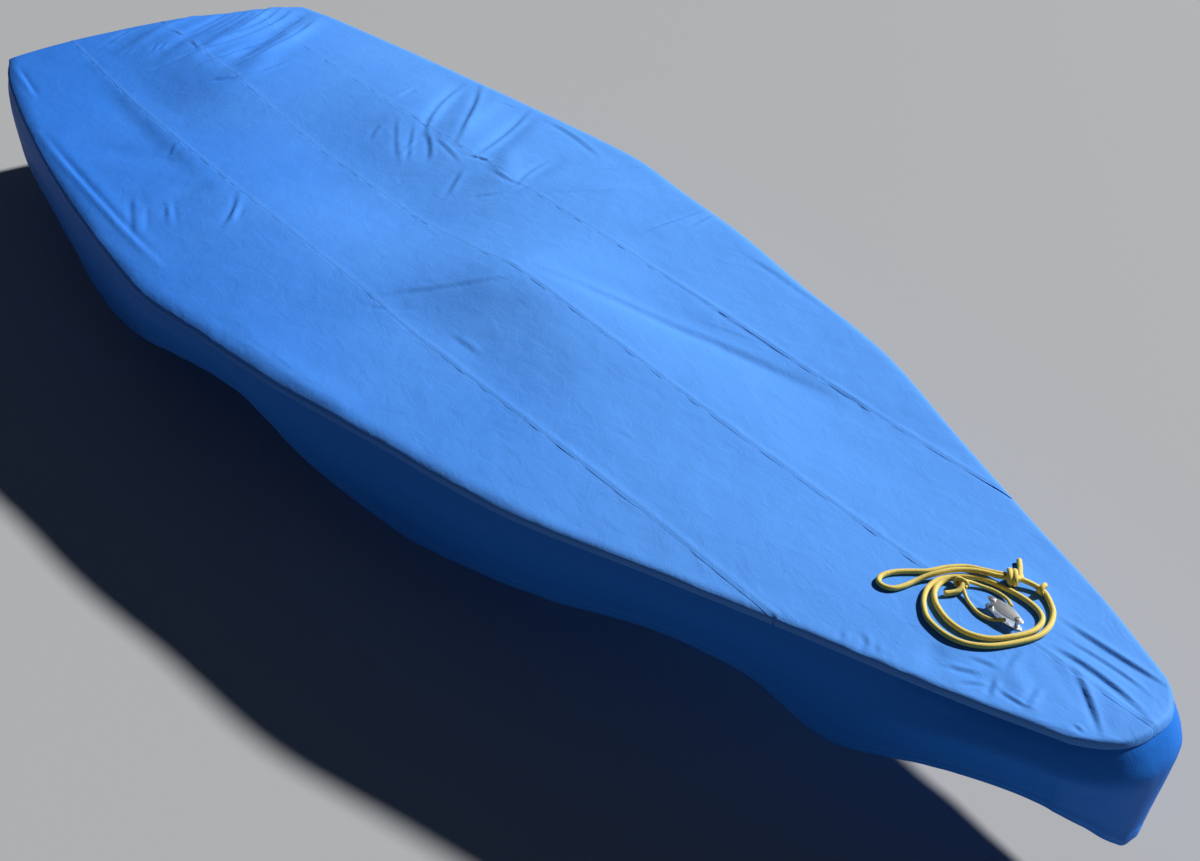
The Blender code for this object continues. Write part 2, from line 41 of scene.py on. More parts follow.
# Camera first: off the starboard bow and above, set out for a 1200 x 861 picture.
cameraView = {
    "place": (2.8587, -1.4899, 1.4697),
    "turn": (56.762, 0.109, 55.0),      # degrees about X, Y and Z
    "lens": 39.72,
    "sensor": 36.0,
}
bpy.ops.object.camera_add(location=cameraView["place"],
                          rotation=[math.radians(angle) for angle in cameraView["turn"]])
camera = bpy.context.object
camera.name = "view_camera"
camera.data.lens = cameraView["lens"]
camera.data.sensor_width = cameraView["sensor"]
camera.data.clip_start = 0.05
camera.data.clip_end = 100.0
bpy.context.scene.camera = camera
bpy.context.scene.view_settings.view_transform = "Standard"     # keeps the cloth's strong blue
print("camera set")


def deselectAll():
    for item in bpy.context.selected_objects:
        item.select_set(False)


def blend(value, low, high):
    # 0 below low, 1 above high, smooth between
    t = np.clip((value - low) / (high - low), 0.0, 1.0)
    return t * t * (3 - 2 * t)


def curveThrough(xs, ys, at):
    # a smooth curve through the points that doesn't overshoot them; ys may hold one row for each place
    xs, ys = np.asarray(xs, float), np.asarray(ys, float)
    steps = np.diff(xs)
    slopes = np.diff(ys, axis=-1) / steps
    before, after = slopes[..., :-1], slopes[..., 1:]
    wide, narrow = 2 * steps[1:] + steps[:-1], steps[1:] + 2 * steps[:-1]
    turns = before * after <= 0
    inner = (wide + narrow) / (wide / np.where(turns, 1, before) + narrow / np.where(turns, 1, after))
    lean = np.concatenate([slopes[..., :1], np.where(turns, 0, inner), slopes[..., -1:]], axis=-1)
    at = np.clip(at, xs[0], xs[-1])
    cell = np.clip(np.searchsorted(xs, at, side="right") - 1, 0, len(xs) - 2)
    t = (at - xs[cell]) / steps[cell]
    if ys.ndim == 1:
        y0, y1, m0, m1 = ys[cell], ys[cell + 1], lean[cell], lean[cell + 1]
    else:
        row = np.arange(len(at))
        y0, y1, m0, m1 = ys[row, cell], ys[row, cell + 1], lean[row, cell], lean[row, cell + 1]
    rise = y0 * (2 * t**3 - 3 * t**2 + 1) + y1 * (3 * t**2 - 2 * t**3)
    return rise + steps[cell] * (m0 * (t**3 - 2 * t**2 + t) + m1 * (t**3 - t**2))


def lumps(x, y, size, seed):
    # soft, uneven ups and downs between -1 and 1, about this far apart, the same on each run
    heights = np.random.default_rng(seed).uniform(-1, 1, (int(10 / size) + 3, int(6 / size) + 3))
    gx, gy = (np.asarray(x) + 1.5) / size, (np.asarray(y) + 2.5) / size
    ix, iy = np.floor(gx).astype(int), np.floor(gy).astype(int)
    tx, ty = gx - ix, gy - iy
    tx, ty = tx**3 * (tx * (tx * 6 - 15) + 10), ty**3 * (ty * (ty * 6 - 15) + 10)
    near = heights[ix, iy] * (1 - tx) + heights[ix + 1, iy] * tx
    far = heights[ix, iy + 1] * (1 - tx) + heights[ix + 1, iy + 1] * tx
    return near * (1 - ty) + far * ty


# Shape of the cover: x from the transom, y to port, heights above its own edge amidships. Single values
# are in metres here and below, and tables of points in millimetres.
cover = {
    "fromTransom": 2.10,
    "originHeight": 0.010472,
    "length": 4.278,
    "noseRound": 0.063,
    "noseStart": 3.88,
    "transomRound": 0.018,
    "rollDrop": 0.020,
    "midShare": 0.45,
    # x, half beam, edge, starboard middle, centre, port middle, side seam, width of the soft edge
    "sections": (
        (0, 556, 43, 68, 75, 66, 330, 40),
        (200, 608, 31, 50, 72, 62, 332, 45),
        (430, 646, 20, 36, 67, 55, 334, 45),
        (750, 686, 11, 19, 59, 43, 334, 45),
        (1050, 716, 3, 18, 27, 34, 334, 45),
        (1450, 743, 0, 22, 3, 30, 332, 45),
        (1900, 757, 0, 25, 2, 27, 328, 45),
        (2250, 708, 1, 20, 30, 26, 322, 42),
        (2520, 665, 3, 14, 60, 22, 320, 38),
        (2850, 588, 4, 19, 46, 16, 315, 32),
        (3200, 511, 7, 24, 31, 12, 306, 24),
        (3550, 376, 10, 23, 22, 13, 297, 16),
        (3820, 272, 13, 19, 18, 16, 292, 14),
        (4050, 187, 16, 19, 20, 19, 290, 12),
        (4215, 114, 17, 19, 21, 19, 290, 12),
    ),
    # ridges and, below zero, troughs: both ends in plan, height, half width
    "folds": (
        (740, 20, 220, 520, 13, 42), (600, 20, 110, 520, -10, 32), (480, -60, 40, 440, 10, 30),
        (360, -140, 20, 280, -8, 30), (240, -220, 20, 100, 6, 28), (2470, 50, 2310, -360, 7, 55),
        (2620, -40, 2500, -360, -5, 75), (2500, 100, 3000, 220, -8, 60), (3000, 220, 3420, 280, -6, 50),
        (1130, 620, 1440, 340, -10, 45), (1300, 640, 1560, 360, 9, 40), (1500, 640, 1720, 380, -10, 42),
        (1400, 300, 1660, 200, -5, 45), (1740, 440, 1920, 300, 7, 35), (1960, 340, 1880, 500, -6, 35),
        (2080, 420, 2200, 630, 5, 40), (2420, 430, 2440, 600, 5, 40), (790, -630, 1950, -676, 4, 30),
        (2300, -640, 2720, -590, 4, 30), (950, -560, 1250, -400, -5, 50), (1420, -400, 1520, -520, -4, 40),
        (4075, 60, 4225, 72, -2.2, 18), (4080, 20, 4240, 12, -1.6, 16), (4080, -12, 4220, -60, -1.8, 16),
        (4060, -75, 4140, -115, 3, 18), (3960, -130, 3990, -180, -3, 22),
    ),
    "creaseSize": (1.00, 0.95),         # depth and width of the after creases against the table below
    "bowCreaseSize": (0.66, 0.74),      # and of the forward ones
    "bowCreasesFrom": 2.3,
    # small unevenness of the cloth: height, distance apart, number that starts its pattern
    "uneven": ((0.0014, 0.26, 1), (0.0011, 0.10, 2), (0.00045, 0.040, 3), (0.00016, 0.018, 5)),
    "pleatHeight": 0.0011,              # the cloth gathers in small pleats along its edge
    "pleatReach": 0.035,                # which die out this far in
    "levelCentre": (3.948, 0.003),      # the cloth lies level under the coiled line
    "levelRadius": 0.150,
    "levelFade": 0.060,
    "levelHeight": 0.021,
}

# Sharp creases that cross the main folds: start, middle and end in plan, height, half width. Above
# zero the port side of the crease stands up and the starboard side lies low.
creases = (
    # fanned across the stern from the after peak
    (196, 37, 97, 166, -4, 294, 5, 17), (304, 140, 165, 299, -2, 430, 5.5, 18),
    (467, -178, 349, 177, 94, 467, 6.6, 20), (526, 34, 471, 113, 418, 194, 4.4, 16),
    (624, 53, 475, 285, 274, 476, 8, 22), (733, 75, 704, 138, 673, 201, 3.2, 16),
    (250, 88, 131, 232, -2, 362, 3.6, 14), (385, -20, 255, 245, 45, 450, 4, 15),
    (545, -60, 412, 235, 185, 475, 4.4, 16), (130, -80, 50, 60, -4, 170, 3.6, 15),
    (710, -82, 726, -43, 733, -2, 4.8, 16), (299, -137, 278, -120, 257, -103, 3, 11),
    (303, -117, 284, -95, 265, -73, 3, 11), (260, -228, 250, -207, 240, -187, 2.8, 11),
    (112, -226, 79, -171, 51, -114, 4.4, 14), (148, -275, 138, -246, 129, -218, 3, 11),
    (150, -18, 189, -2, 230, 9, 1.6, 14), (281, 10, 348, -1, 416, -11, 1.6, 14),
    # crumples by the port seam
    (1109, 638, 1279, 449, 1480, 292, 4, 18), (1132, 691, 1376, 520, 1605, 329, 4.4, 18),
    (1446, 688, 1593, 511, 1728, 326, 4.4, 20), (1331, 657, 1363, 664, 1395, 670, 1.6, 12),
    (1547, 687, 1735, 675, 1918, 636, 3, 16), (1320, 281, 1460, 203, 1605, 135, 2.2, 12),
    (1394, 297, 1502, 230, 1609, 163, 2.6, 12), (1463, 305, 1566, 261, 1662, 204, 3.4, 14),
    (1533, 301, 1633, 286, 1732, 266, 3, 10), (1709, 310, 1746, 327, 1786, 335, 2.6, 10),
    (1779, 329, 1777, 348, 1774, 366, 1.8, 10), (1906, 123, 1845, 186, 1785, 248, 2.2, 14),
    (1855, 310, 1916, 306, 1975, 319, 2.6, 11), (1975, 319, 1911, 401, 1870, 495, 3, 14),
    (1962, 187, 1996, 256, 1993, 331, 2.8, 14), (1403, 150, 1356, 186, 1319, 232, 1.6, 14),
    (2080, 344, 2108, 414, 2136, 483, 1.6, 14), (1151, 363, 1123, 414, 1089, 461, -2, 14),
    (1499, 267, 1540, 203, 1600, 155, -1.8, 11), (2021, 174, 2042, 235, 2048, 299, -1.6, 12),
    # forward half, port side
    (1983, 591, 2015, 650, 2048, 708, -3.2, 14), (2141, 480, 2151, 571, 2162, 663, -3.2, 14),
    (2423, 429, 2402, 549, 2381, 668, -4, 16), (2457, 549, 2433, 619, 2409, 688, 3, 14),
    (2647, 568, 2845, 555, 3042, 530, 2.2, 20), (2522, 57, 2889, 187, 3268, 278, 4, 40),
    (2760, 316, 2942, 305, 3125, 306, 1.4, 14), (2853, 236, 2960, 271, 3068, 300, 1.2, 12),
    (3247, 297, 3312, 300, 3377, 293, 1.6, 12),
    # across from the middle peak
    (2522, -19, 2429, -166, 2338, -313, 2.6, 20), (2367, -347, 2400, -324, 2410, -282, 2.2, 11),
    (2435, -274, 2437, -268, 2440, -261, 1.4, 9), (2607, -257, 2668, -256, 2729, -255, 2.4, 14),
    (2354, -335, 2371, -309, 2388, -284, -1.4, 10), (2427, -318, 2442, -293, 2458, -269, -1.6, 10),
    # starboard quarter, which falls away from a line by the side seam
    (340, -352, 900, -372, 1460, -392, 3.6, 75), (142, -561, 298, -572, 454, -584, -3, 14),
    (740, -655, 1353, -670, 1861, -666, -4.4, 15), (2271, -653, 2483, -628, 2695, -604, -1.2, 10),
    (1483, -583, 1559, -609, 1635, -635, -2, 12), (1482, -509, 1570, -536, 1659, -562, -2, 11),
    (1665, -378, 1707, -403, 1749, -427, -2.4, 12), (1633, -661, 1517, -625, 1400, -589, 2.8, 14),
    (1524, -533, 1561, -546, 1597, -559, 2.4, 11), (1574, -350, 1668, -397, 1753, -459, 3.6, 14),
    (1177, -400, 1141, -378, 1104, -355, 1.8, 13), (2957, -578, 3069, -547, 3180, -515, 1.2, 10),
    # gathered at the bow
    (4057, 14, 4162, 24, 4272, 1, 3.6, 13), (4030, 82, 4134, 86, 4236, 92, 3.6, 14),
    (4060, 48, 4150, 58, 4225, 52, 2.4, 12), (4119, 7, 4180, -32, 4237, -77, 3.6, 12),
    (4051, -26, 4054, -54, 4065, -81, 3.4, 13), (4066, -113, 4077, -131, 4087, -151, 3.6, 10),
    (4086, -127, 4114, -126, 4140, -120, 2.4, 9), (4119, -73, 4128, -99, 4136, -126, 3.2, 11),
    (4002, -152, 4024, -139, 4044, -123, 3, 11), (4040, -166, 4052, -150, 4066, -136, 2.4, 9),
    (3847, -227, 3855, -237, 3863, -248, 2.8, 10), (3868, -207, 3891, -218, 3896, -242, 2.8, 10),
    (3903, -207, 3911, -213, 3919, -219, 2.2, 9), (4202, -92, 4210, -93, 4217, -95, 2.2, 8),
    (4010, -112, 4030, -100, 4052, -94, 2.6, 11),
)


def fromTable(rows, column, x):
    # a column of a table in millimetres, as a smooth curve over its first column
    table = np.array(rows).T / 1000
    return curveThrough(table[0], table[column], x)


def sectionAt(column, x):
    return fromTable(cover["sections"], column, x)


def foldHeight(x, y):
    total = np.zeros_like(x)
    for row in cover["folds"]:
        x0, y0, x1, y1, height, width = (value / 1000 for value in row)
        ax, ay = x1 - x0, y1 - y0
        share = np.clip(((x - x0) * ax + (y - y0) * ay) / (ax * ax + ay * ay), 0.0, 1.0)
        away = np.hypot(x - x0 - ax * share, y - y0 - ay * share)
        total += height * (0.35 + 0.65 * np.sin(np.pi * share)) * np.exp(-((away / width) ** 2))
    return total


def creaseHeight(x, y):
    total = np.zeros_like(x)
    lengths = 8         # each crease is a curve in this many straight lengths
    t = np.linspace(0.0, 1.0, lengths + 1)
    for row in creases:
        x0, y0, xm, ym, x1, y1, height, width = (value / 1000 for value in row)
        size = cover["creaseSize"] if xm < cover["bowCreasesFrom"] else cover["bowCreaseSize"]
        height, width = height * size[0], width * size[1]
        cx, cy = 2 * xm - (x0 + x1) / 2, 2 * ym - (y0 + y1) / 2
        lineX = x0 * (1 - t) ** 2 + 2 * cx * t * (1 - t) + x1 * t * t
        lineY = y0 * (1 - t) ** 2 + 2 * cy * t * (1 - t) + y1 * t * t
        reach = 2.6 * width         # past this it no longer shows
        near = ((x > lineX.min() - reach) & (x < lineX.max() + reach)
                & (y > lineY.min() - reach) & (y < lineY.max() + reach))
        px, py = x[near], y[near]
        if not len(px):
            continue
        normalX, normalY = -(y1 - y0), x1 - x0
        flip = 1.0 if normalY * 0.98 - normalX * 0.2 > 0 else -1.0     # towards port
        best = np.full(px.shape, 9.0)
        side, along = np.zeros(px.shape), np.zeros(px.shape)
        for i in range(lengths):
            ax, ay = lineX[i + 1] - lineX[i], lineY[i + 1] - lineY[i]
            raw = ((px - lineX[i]) * ax + (py - lineY[i]) * ay) / (ax * ax + ay * ay)
            share = np.clip(raw, 0.0, 1.0)
            away = np.hypot(px - lineX[i] - ax * share, py - lineY[i] - ay * share)
            closer = away < best
            best[closer] = away[closer]
            cross = (ax * (py - lineY[i]) - ay * (px - lineX[i])) / math.hypot(ax, ay)
            side[closer] = cross[closer] * flip
            along[closer] = (i + share[closer]) / lengths
        fade = blend(along, 0.0, 0.3) * blend(1.0 - along, 0.0, 0.3) * 0.75 + 0.25      # lower at its ends
        off = side / width
        total[near] += height * fade * 1.45 * np.tanh(2.6 * off) * np.exp(-((best / width) ** 2))
    return total


def rowPoint(row, share):
    # plan position at a share of the half beam, on a row that curves with the bow and the stern
    bow = blend(row, cover["noseStart"], cover["length"])
    stern = 1.0 - blend(row, 0.0, 0.25)
    y = share * sectionAt(1, row - bow * cover["noseRound"])
    x = row - bow * cover["noseRound"] * np.abs(share) ** 2.6
    return x + stern * cover["transomRound"] * np.abs(share) ** 8, y


def edgeDistance(x, y):
    share = np.minimum(np.abs(y) / sectionAt(1, x), 1.0)
    slant = (sectionAt(1, x + 0.01) - sectionAt(1, x - 0.01)) / 0.02
    side = (sectionAt(1, x) - np.abs(y)) / np.hypot(1.0, slant)
    noseShare = np.minimum(np.abs(y) / sectionAt(1, np.full_like(x, cover["length"])), 1.0)
    nose = cover["length"] - cover["noseRound"] * noseShare**2.6 - x
    stern = x - cover["transomRound"] * share**8
    return np.maximum(np.minimum(np.minimum(side, nose), stern), 0.0)


def clothHeight(x, y):
    # height of the top's outer face: sections, folds, creases, small unevenness and the rolled edge
    x, y = np.asarray(x, float).ravel(), np.asarray(y, float).ravel()
    share = np.clip(y / sectionAt(1, x), -1.0, 1.0)
    mid = cover["midShare"]
    heights = np.stack([sectionAt(column, x) for column in (2, 3, 4, 5, 2)], -1)
    edge = edgeDistance(x, y)
    inside = blend(edge, 0.0, 0.03)
    height = curveThrough((-1.0, -mid, 0.0, mid, 1.0), heights, share) + inside * foldHeight(x, y)
    out = np.hypot(x - cover["levelCentre"][0], y - cover["levelCentre"][1])
    level = 1.0 - blend(out, cover["levelRadius"] - cover["levelFade"], cover["levelRadius"])
    height += level * (cover["levelHeight"] - height)
    fine = sum(size * lumps(x, y, apart, seed) for size, apart, seed in cover["uneven"])
    small = creaseHeight(x, y) + fine * (0.35 + 0.65 * blend(out, 0.1, 0.6))
    height += (0.25 + 0.75 * inside) * (1.0 - 0.7 * level) * small
    # the pleats run square to the edge, so those at the bow are turned
    front = blend(x, 4.12, 4.22)
    pleats = lumps(x, y * 0.35, 0.030, 8) * (1 - front) + lumps(x * 0.35, y, 0.024, 9) * front
    pleats *= np.exp(-edge / cover["pleatReach"]) * (0.45 + 0.55 * blend(x, 3.3, 3.8))
    height += cover["pleatHeight"] * pleats * blend(edge, 0.0, 0.006)
    roll = np.maximum(1.0 - edge / sectionAt(7, x), 0.0)
    deep = cover["rollDrop"] * np.minimum(sectionAt(7, x) / 0.04, 1.0)
    return height - deep * (1.0 - np.sqrt(1.0 - (0.96 * roll) ** 2))


def inPart(x, y, z):
    return np.stack([x - cover["fromTransom"], y, z - cover["originHeight"]], -1)


def hexColour(code):
    parts = [int(code[i:i + 2], 16) / 255 for i in (1, 3, 5)]
    return [c / 12.92 if c <= 0.04045 else ((c + 0.055) / 1.055) ** 2.4 for c in parts] + [1.0]


def addNode(tree, kind, settings=None, links=None):
    # settings are the node's own fields, or values of its inputs; links are what feeds its inputs
    node = tree.nodes.new("ShaderNode" + kind)
    for name, value in (settings or {}).items():
        if isinstance(name, str) and name in node.bl_rna.properties:
            setattr(node, name, value)
        else:
            node.inputs[name].default_value = value
    for name, socket in (links or {}).items():
        tree.links.new(socket, node.inputs[name])
    return node


def setStops(node, places, codes):
    # the colour stops of a ramp, low to high
    while len(node.color_ramp.elements) < len(places):
        node.color_ramp.elements.new(0.5)
    for stop, place, code in zip(node.color_ramp.elements, places, codes):
        stop.position, stop.color = place, hexColour(code)


def newMaterial(name, settings):
    material = bpy.data.materials.new(name)
    material.use_nodes = True
    principled = material.node_tree.nodes["Principled BSDF"]
    for socket, value in settings.items():
        principled.inputs[socket].default_value = value
    return material, material.node_tree, principled


def shapedGrid(name, points, uvs, flip=False, wrap=False):
    # a grid of points[row, column] with its own UV maps in metres; wrap joins its first and last columns
    rows, columns = points.shape[0] - 1, points.shape[1] - 1
    deselectAll()
    bpy.ops.mesh.primitive_grid_add(x_subdivisions=columns, y_subdivisions=rows, size=2.0, location=(0, 0, 0))
    piece = bpy.context.object
    piece.name = piece.data.name = name
    mesh = piece.data
    co = np.zeros(len(mesh.vertices) * 3)
    mesh.vertices.foreach_get("co", co)
    co = co.reshape(-1, 3)
    column = np.rint((co[:, 0] + 1) / 2 * columns).astype(int)
    row = np.rint((co[:, 1] + 1) / 2 * rows).astype(int)
    mesh.vertices.foreach_set("co", points[row, column].ravel())
    corner = np.zeros(len(mesh.loops), int)
    mesh.loops.foreach_get("vertex_index", corner)
    while mesh.uv_layers:
        mesh.uv_layers.remove(mesh.uv_layers[0])
    for layerName, values in uvs.items():
        layer = mesh.uv_layers.new(name=layerName)
        layer.data.foreach_set("uv", values[row[corner], column[corner]].ravel())
    mesh.update()
    bpy.ops.object.mode_set(mode="EDIT")
    bpy.ops.mesh.select_all(action="SELECT")
    if wrap:
        bpy.ops.mesh.remove_doubles(threshold=0.000002)
        bpy.ops.mesh.normals_make_consistent(inside=False)
    elif flip:
        bpy.ops.mesh.flip_normals()
    bpy.ops.object.mode_set(mode="OBJECT")
    bpy.ops.object.shade_smooth()
    return piece


def runAlong(points):
    # distance along a line at each of its points
    return np.append(0, np.cumsum(np.linalg.norm(np.diff(points, axis=0), axis=1)))


def smoothRoute(route, spacing):
    # evenly spaced points on a smooth curve through the route's own points
    pts = np.array(route, float)
    pts = np.vstack([2 * pts[0] - pts[1], pts, 2 * pts[-1] - pts[-2]])
    t = np.linspace(0, 1, 24, endpoint=False)[:, None]
    fine = [0.5 * (2 * b + (c - a) * t + (2 * a - 5 * b + 4 * c - d) * t**2 + (3 * b - a - 3 * c + d) * t**3)
            for a, b, c, d in zip(pts, pts[1:], pts[2:], pts[3:])]
    fine = np.vstack(fine + [pts[-2:-1]])
    run = runAlong(fine)
    wanted = np.linspace(0, run[-1], max(int(run[-1] / spacing), 8))
    return np.stack([np.interp(wanted, run, fine[:, k]) for k in range(fine.shape[1])], -1)


def onCloth(route, radius):
    # x, y and lift become points of a line that lies on the top
    height = clothHeight(route[:, 0], route[:, 1]) + bowLine["clearance"] + radius + route[:, 2]
    return inPart(route[:, 0], route[:, 1], height)


def braidedTube(name, centres, diameter, plait, sides=32):
    # tube with the raised strands of a braid, rounded off at both ends
    radius = diameter / 2
    ahead = np.gradient(centres, axis=0)
    ahead /= np.linalg.norm(ahead, axis=1)[:, None]
    across = np.zeros_like(centres)
    across[0] = np.cross(ahead[0], (0.0, 0.0, 1.0))
    across[0] /= np.linalg.norm(across[0])
    for i in range(1, len(centres)):
        across[i] = across[i - 1] - ahead[i] * (across[i - 1] @ ahead[i])
        across[i] /= np.linalg.norm(across[i])
    above = np.cross(ahead, across)
    run = runAlong(centres)
    angle = np.linspace(0, 2 * np.pi, sides + 1)
    turn, length = np.meshgrid(angle, run)
    twist = 2 * np.pi / plait["pitch"]
    one = np.abs(np.cos(plait["strands"] / 4 * (turn + twist * length)))
    two = np.abs(np.cos(plait["strands"] / 4 * (turn - twist * length)))
    size = radius * (1.07 - plait["depth"] + plait["depth"] * np.maximum(one, two) ** 1.5)
    toEnd = np.minimum(run, run[-1] - run)
    tip = np.sqrt(np.clip(1 - (1 - np.clip(toEnd / (0.55 * radius), 0, 1)) ** 2, 0, 1))
    size = size * tip[:, None]
    points = (centres[:, None] + size[..., None] * (np.cos(turn)[..., None] * across[:, None]
                                                    + np.sin(turn)[..., None] * above[:, None]))
    uv = np.stack([turn / (2 * np.pi) * np.pi * diameter, length], -1)
    return shapedGrid(name, points, {"braid": uv}, wrap=True)


# Bow line: one limp braided line. Columns: x, y, lift above where it lies on the cloth.
bowLine = {
    "diameter": 0.009,
    "lashingDiameter": 0.006,
    "clearance": 0.0004,        # between the line and the cloth
    "ringSpacing": 0.0012,      # between the rings of a tube's mesh
    "lashingSpacing": 0.0010,
    "plait": {"strands": 16, "pitch": 0.034, "depth": 0.10},
    "route": (
        (3884, -34, 1), (3890, -23, 1), (3895, -10, 3), (3890, 4, 8.5), (3877, 10, 7.5), (3866, 4, 3.5),
        (3861, -13, 0), (3866, -33, 0), (3879, -51, 0), (3900, -66, 0), (3934, -78, 0), (3970, -77, 0),
        (4001, -59, 0), (4020, -27, 0), (4032, 12, 0), (4027, 43, 0), (4010, 60, 0), (3982, 67, 0),
        (3948, 65, 0), (3918, 58, 0), (3893, 48, 0), (3873, 30, 0), (3860, 10, 0), (3853, -13, 0),
        (3857, -42, 0), (3871, -67, 0), (3890, -87, 0), (3916, -103, 0), (3955, -107, 0), (3988, -97, 0),
        (4015, -71, 0), (4033, -34, 0), (4045, 8, 0), (4041, 44, 0), (4024, 76, 0), (4001, 96, 0),
        (3979, 107, 2), (3962, 105, 4), (3944, 97, 7), (3925, 86, 9.5), (3904, 76, 6), (3880, 66, 2),
        (3856, 52, 0), (3838, 24, 0), (3825, -10, 0), (3807, -34, 0), (3792, -60, 0), (3788, -84, 0),
        (3796, -98, 0), (3810, -100, 0), (3823, -91, 0), (3829, -73, 0), (3832, -50, 0.5),
        (3837, -28, 4), (3846, -6, 7.5), (3856, 18, 8.5), (3871, 40, 8.5), (3890, 56, 8.5),
        (3910, 68, 8.5), (3926, 77, 11), (3937, 88, 10), (3934, 101, 5), (3923, 113, 1.5),
        (3909, 130, 0.5), (3893, 147, 1),
    ),
    "lashingRoute": (
        (3992, -4, 6.5), (3975, -18, 2), (3950, -22, 0), (3922, -14, 0), (3902, -4, 4), (3888, 6, 10),
        (3889, 20, 6), (3906, 34, 1), (3930, 44, 0), (3955, 42, 2), (3975, 30, 6.5),
    ),
    "yarn": "#F8EC98",
    # painted shade between the yarns, where the bump is low, along with the yarns' own uneven tone
    "yarnPaintedShade": "#DCC445",
    "soil": "#E2D595",
}

# braided polyester line: matt, springy yellow yarns, a duller yellow on the bump's low parts between them
# that is painted shade as well as the yarns' own uneven tone, and a little soil
lineMaterial, tree, shader = newMaterial("braided_polyester_line", {
    "Roughness": 0.62, "Sheen Weight": 0.25, "Sheen Roughness": 0.5, "Specular IOR Level": 0.35})
braidMap = addNode(tree, "UVMap", {"uv_map": "braid"})
yarnScale = addNode(tree, "Mapping", {"Scale": (700, 260, 1)}, {"Vector": braidMap.outputs[0]})
yarn = addNode(tree, "TexNoise", {"Scale": 1.0, "Detail": 3.0}, {"Vector": yarnScale.outputs[0]})
soil = addNode(tree, "TexNoise", {"Scale": 28.0, "Detail": 4.0}, {"Vector": braidMap.outputs[0]})
# painted shade: the noise that raises the yarns also turns them a duller yellow where it is low
yarnColour = addNode(tree, "ValToRGB", links={"Fac": yarn.outputs["Fac"]})
setStops(yarnColour, (0.3, 0.7), (bowLine["yarnPaintedShade"], bowLine["yarn"]))
soiled = addNode(tree, "Mix", {"data_type": "RGBA", "blend_type": "MULTIPLY", 7: hexColour(bowLine["soil"])},
                 {0: soil.outputs["Fac"], 6: yarnColour.outputs["Color"]})
tree.links.new(soiled.outputs[2], shader.inputs["Base Color"])
yarnBump = addNode(tree, "Bump", {"Strength": 0.35, "Distance": 0.0004}, {"Height": yarn.outputs["Fac"]})
tree.links.new(yarnBump.outputs[0], shader.inputs["Normal"])


def layLine(name, route, diameter, spacing):
    centres = onCloth(smoothRoute(np.array(route) / 1000, spacing), diameter / 2)
    tube = braidedTube(name, centres, diameter, bowLine["plait"])
    tube.data.materials.append(lineMaterial)
    return tube, centres


def wrapKnot(name, knot):
    # turns of line drawn tight round the strands that pass through a knot
    t = np.linspace(0, 1, 40)
    turns = 2 * np.pi * (knot["start"] + knot["turns"] * t)
    ahead = np.array(knot["along"]) / np.linalg.norm(knot["along"])
    across = np.array([-ahead[1], ahead[0]])
    side, lift = np.cos(turns) * knot["halfWide"], np.sin(turns) * knot["halfHigh"]
    shift = (t - 0.5) * knot["advance"]
    x = knot["centre"][0] + ahead[0] * shift + across[0] * side
    y = knot["centre"][1] + ahead[1] * shift + across[1] * side
    under = clothHeight([knot["centre"][0]], [knot["centre"][1]])[0] + bowLine["clearance"]
    z = under + knot["diameter"] / 2 + knot["halfHigh"] + lift
    centres = smoothRoute(inPart(x, y, z), bowLine["ringSpacing"])
    tube = braidedTube(name, centres, knot["diameter"], bowLine["plait"], 24)
    tube.data.materials.append(lineMaterial)
    return tube


knots = {
    "line_tie_knot": {
        "centre": (3.929, 0.086), "along": (0.80, 0.60), "halfWide": 0.0135, "halfHigh": 0.0092,
        "start": 0.05, "turns": 1.9, "advance": 0.017, "diameter": 0.009},
    "line_stopper_knot": {
        "centre": (3.975, 0.107), "along": (0.97, 0.10), "halfWide": 0.0085, "halfHigh": 0.0062,
        "start": 0.60, "turns": 1.2, "advance": 0.009, "diameter": 0.0085},
    "line_inner_knot": {
        "centre": (3.886, 0.006), "along": (-0.3, 0.95), "halfWide": 0.0105, "halfHigh": 0.0078,
        "start": 0.45, "turns": 1.6, "advance": 0.012, "diameter": 0.006},
}
mainLine, mainCentres = layLine("bow_line", bowLine["route"], bowLine["diameter"], bowLine["ringSpacing"])
lashing, lashingCentres = layLine("bow_line_lash", bowLine["lashingRoute"], bowLine["lashingDiameter"],
                                  bowLine["lashingSpacing"])
tieKnots = {name: wrapKnot(name, knot) for name, knot in knots.items()}
for piece in (mainLine, lashing, *tieKnots.values()):
    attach(piece, "root")
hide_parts("bow_line_coil", "bow_line_bight")
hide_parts("bow_line_lashing")

# Two-cheek fitting of stainless steel that the lashing holds.
fitting = {
    "from": (3.940, 0.010),
    "to": (4.019, 0.003),
    "halfWidth": 0.013,
    "plate": 0.0025,
    "gap": 0.013,
    "pinRadius": 0.0036,
    "headRadius": 0.0050,
    "headHeight": 0.0016,
    "pinShares": (-0.72, 0.72),
    "cheekEdge": 0.0007,        # how far the cheeks' edges are rounded
    "pinEdge": 0.0008,
    "steel": "#E3E6E8",
    "roughness": (0.28, 0.44),
}

# polished stainless steel, stamped and tumbled: bright, with fine scuffs from use
steelMaterial, tree, shader = newMaterial("polished_stainless_steel", {
    "Metallic": 1.0, "Roughness": 0.30, "Base Color": hexColour(fitting["steel"])})
steelPlace = addNode(tree, "TexCoord")
scuffScale = addNode(tree, "Mapping", {"Scale": (160, 1400, 900)}, {"Vector": steelPlace.outputs["Object"]})
scuff = addNode(tree, "TexNoise", {"Scale": 1.0, "Detail": 5.0}, {"Vector": scuffScale.outputs[0]})
scuffRange = addNode(tree, "MapRange", dict(zip(("To Min", "To Max"), fitting["roughness"])),
                     {"Value": scuff.outputs["Fac"]})
tree.links.new(scuffRange.outputs[0], shader.inputs["Roughness"])
scuffBump = addNode(tree, "Bump", {"Strength": 0.10, "Distance": 0.0002}, {"Height": scuff.outputs["Fac"]})
tree.links.new(scuffBump.outputs[0], shader.inputs["Normal"])


